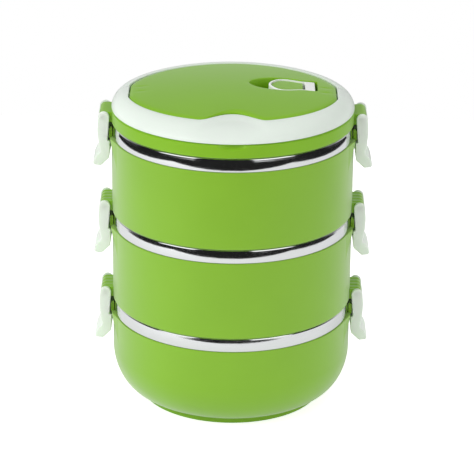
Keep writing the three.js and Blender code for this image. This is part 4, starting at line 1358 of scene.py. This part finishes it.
def make_pin(f, tier, side):
    """A round pin along Y with rounded ends, through a lug and into both ears of its latch."""
    pivot = PIVOT[f"{tier}_right_latch"]
    place = (pivot.x * SIDES[side], pivot.z)
    pin = bar_y(f"{tier}_{side}_pin_rod", f.pin, LUG_HALF + f.pin_end, place, edge=PIN_EDGE)
    dress(pin, "Pin Steel", body_of(tier), f"{tier}_{side}_pin")


# Stage


def stage_floor(stage):
    """A pale table top. The camera sees it as white but for the shadow on it."""
    side, front, back = stage.floor_side, -stage.floor_front, stage.floor_back
    corners = [(-side, front, 0), (side, front, 0), (side, back, 0), (-side, back, 0)]
    mesh = bpy.data.meshes.new("floor")
    mesh.from_pydata(corners, [], [(0, 1, 2, 3)])
    floor = added("floor", mesh)
    grey = stage.floor_grey
    settings = {"Base Color": (grey, grey, grey, 1), "Roughness": 0.9, "Specular IOR Level": 0.0}
    material, tree, shader = material_of("Pale Floor", settings)
    path = tree.nodes.new("ShaderNodeLightPath").outputs
    seen = maths(tree, "MAXIMUM", path["Is Camera Ray"], path["Is Transmission Ray"])
    strength = maths(tree, "MULTIPLY_ADD", seen, stage.floor_glow, stage.floor_light)
    glow = node(tree, "ShaderNodeEmission", {"Color": (1, 1, 1, 1), "Strength": strength})
    both = node(tree, "ShaderNodeAddShader", {0: shader.outputs[0], 1: glow.outputs[0]})
    tree.links.new(both.outputs[0], tree.nodes["Material Output"].inputs["Surface"])
    mesh.materials.append(material)
    floor.location.z = -0.2 * MM  # just under the foot


def step_at(tree, value, place, soft):
    """0 below a place in degrees and 1 above it, with a soft step."""
    low, high = math.radians(place - soft), math.radians(place + soft)
    inputs = {0: value, 1: low, 2: high}
    return node(tree, "ShaderNodeMapRange", inputs, interpolation_type="SMOOTHSTEP").outputs[0]


def between(tree, value, low, high, soft):
    """1 where low < value < high, in degrees, with soft ends."""
    past = step_at(tree, value, low, soft), step_at(tree, value, high, soft)
    return maths(tree, "MULTIPLY", past[0], maths(tree, "SUBTRACT", 1.0, past[1]))


def studio_world(stage):
    """Even pale light, white to the camera. Gloss and metal see a dark room with a soft box at each
    side in front, a pale wall behind that is brightest low down, and a dim ceiling."""
    world = bpy.data.worlds.new("studio")
    bpy.context.scene.world = world
    world.use_nodes = True
    tree = world.node_tree
    direction = node(tree, "ShaderNodeTexCoord").outputs["Generated"]
    split = node(tree, "ShaderNodeSeparateXYZ", {"Vector": direction})
    x, y, z = (split.outputs[i] for i in range(3))
    turn = maths(tree, "ARCTAN2", x, maths(tree, "MULTIPLY", y, -1.0))
    angles = {"turn": turn, "aside": maths(tree, "ABSOLUTE", turn), "up": maths(tree, "ARCSINE", z)}
    pale = ROOM_DARK
    for which, start, end, low, high, soft, strength in ROOM:
        wide = between(tree, angles[which], start, end, soft)
        patch = maths(tree, "MULTIPLY", wide, between(tree, angles["up"], low, high, soft))
        pale = maths(tree, "MAXIMUM", pale, maths(tree, "MULTIPLY", patch, strength))
    path = tree.nodes.new("ShaderNodeLightPath").outputs
    glossy = path["Is Glossy Ray"]
    even = maths(tree, "MULTIPLY", maths(tree, "SUBTRACT", 1.0, glossy), stage.sky)
    strength = maths(tree, "MULTIPLY_ADD", glossy, pale, even)
    seen = node(tree, "ShaderNodeMix", {"Factor": path["Is Camera Ray"], "A": strength, "B": 1.0})
    shader = tree.nodes["Background"].inputs
    tree.links.new(seen.outputs[0], shader["Strength"])
    shader["Color"].default_value = (1, 1, 1, 1)


def add_lamp(name, place, size, power):
    """A soft lamp aimed at the carrier, which gloss and the camera don't see."""
    data = bpy.data.lights.new(name, "AREA")
    data.shape = "RECTANGLE"
    data.size, data.size_y = size
    data.energy = power
    lamp = added(name, data)
    lamp.location = place
    lamp.rotation_euler = (AIM - Vector(place)).to_track_quat("-Z", "Y").to_euler()
    lamp.visible_glossy = False
    lamp.visible_camera = False


def add_camera(stage):
    """The camera on a circle round its target, rolled a little about its own axis."""
    data = bpy.data.cameras.new("camera")
    data.lens = stage.lens
    data.sensor_width = 36.0
    data.clip_start, data.clip_end = 0.05, 20.0
    camera = added("camera", data)
    target = Vector((stage.target_x, 0, stage.target_z))
    back = Vector((0, -math.cos(stage.elevation), math.sin(stage.elevation)))
    camera.location = target + stage.distance * back
    turn = back.to_track_quat("Z", "Y").to_matrix() @ Matrix.Rotation(stage.roll, 3, "Z")
    camera.rotation_mode = "QUATERNION"
    camera.rotation_quaternion = turn.to_quaternion()
    bpy.context.scene.camera = camera


# Operators


class CARRIER_OT_materials(Operator):
    """Makes the plastics, silicone and steel"""

    bl_idname = "carrier.materials"
    bl_label = "Materials"

    def execute(self, context):
        make_materials(context.scene.carrier_finish)
        return {"FINISHED"}


class CARRIER_OT_tiers(Operator):
    """Makes the three green shells, their steel bowls and the seals"""

    bl_idname = "carrier.tiers"
    bl_label = "Tiers"

    def execute(self, context):
        sizes, fittings = context.scene.carrier_tiers, context.scene.carrier_fittings
        for tier in TOP:
            make_shell(sizes, fittings, tier)
            make_bowl(sizes, tier)
        for tier in TIERS:
            make_seal(sizes, tier)
        return {"FINISHED"}


class CARRIER_OT_lid(Operator):
    """Makes the lid's rim, dome and liner"""

    bl_idname = "carrier.lid"
    bl_label = "Lid"

    def execute(self, context):
        scene = context.scene
        make_rim(scene.carrier_tiers, scene.carrier_fittings, scene.carrier_lid)
        make_dome(scene.carrier_lid, scene.carrier_vent)
        make_liner(scene.carrier_tiers, scene.carrier_lid, scene.carrier_vent)
        return {"FINISHED"}


class CARRIER_OT_ring(Operator):
    """Makes the folding handle and the rear trim"""

    bl_idname = "carrier.ring"
    bl_label = "Handle and Trim"

    def execute(self, context):
        make_handle(context.scene.carrier_lid)
        make_trim(context.scene.carrier_tiers, context.scene.carrier_lid)
        return {"FINISHED"}


class CARRIER_OT_vent(Operator):
    """Makes the steam vent's lever, inlay, plug and pin"""

    bl_idname = "carrier.vent"
    bl_label = "Steam Vent"

    def execute(self, context):
        scene = context.scene
        make_lever(scene.carrier_lid, scene.carrier_vent)
        make_inlay(scene.carrier_tiers, scene.carrier_lid, scene.carrier_vent)
        make_plug()
        make_vent_pin(scene.carrier_vent)
        return {"FINISHED"}


class CARRIER_OT_latches(Operator):
    """Makes the six latches and their pins"""

    bl_idname = "carrier.latches"
    bl_label = "Latches"

    def execute(self, context):
        sizes, fittings = context.scene.carrier_tiers, context.scene.carrier_fittings
        for tier in TIERS:
            for side in SIDES:
                make_latch(sizes, fittings, tier, side)
                make_pin(fittings, tier, side)
        return {"FINISHED"}


class CARRIER_OT_stage(Operator):
    """Makes the floor, the light and the camera"""

    bl_idname = "carrier.stage"
    bl_label = "Stage"

    def execute(self, context):
        stage = context.scene.carrier_stage
        stage_floor(stage)
        studio_world(stage)
        for name, place, size in LAMPS:
            add_lamp(name, place, size, getattr(stage, name))
        add_camera(stage)
        context.scene.view_settings.view_transform = "Standard"
        return {"FINISHED"}


STEPS = (
    CARRIER_OT_materials,
    CARRIER_OT_tiers,
    CARRIER_OT_lid,
    CARRIER_OT_ring,
    CARRIER_OT_vent,
    CARRIER_OT_latches,
    CARRIER_OT_stage,
)


class CARRIER_PT_panel(Panel):
    """Lists the carrier's steps in the sidebar"""

    bl_label = "Lunch Carrier"
    bl_idname = "CARRIER_PT_panel"
    bl_space_type = "VIEW_3D"
    bl_region_type = "UI"
    bl_category = "Carrier"

    def draw(self, context):
        for step in STEPS:
            self.layout.operator(step.bl_idname)


GROUPS = {
    "carrier_tiers": CarrierTiers,
    "carrier_fittings": CarrierFittings,
    "carrier_lid": CarrierLid,
    "carrier_vent": CarrierVent,
    "carrier_finish": CarrierFinish,
    "carrier_stage": CarrierStage,
}


def register():
    for kind in (*GROUPS.values(), *STEPS, CARRIER_PT_panel):
        bpy.utils.register_class(kind)
    for name, kind in GROUPS.items():
        setattr(bpy.types.Scene, name, PointerProperty(type=kind))


def unregister():
    for name in GROUPS:
        delattr(bpy.types.Scene, name)
    for kind in (CARRIER_PT_panel, *reversed(STEPS), *reversed(GROUPS.values())):
        bpy.utils.unregister_class(kind)


def main():
    register()
    bpy.ops.carrier.materials()
    bpy.ops.carrier.tiers()
    bpy.ops.carrier.lid()
    bpy.ops.carrier.ring()
    bpy.ops.carrier.vent()
    bpy.ops.carrier.latches()
    bpy.ops.carrier.stage()


if __name__ == "__main__":
    main()
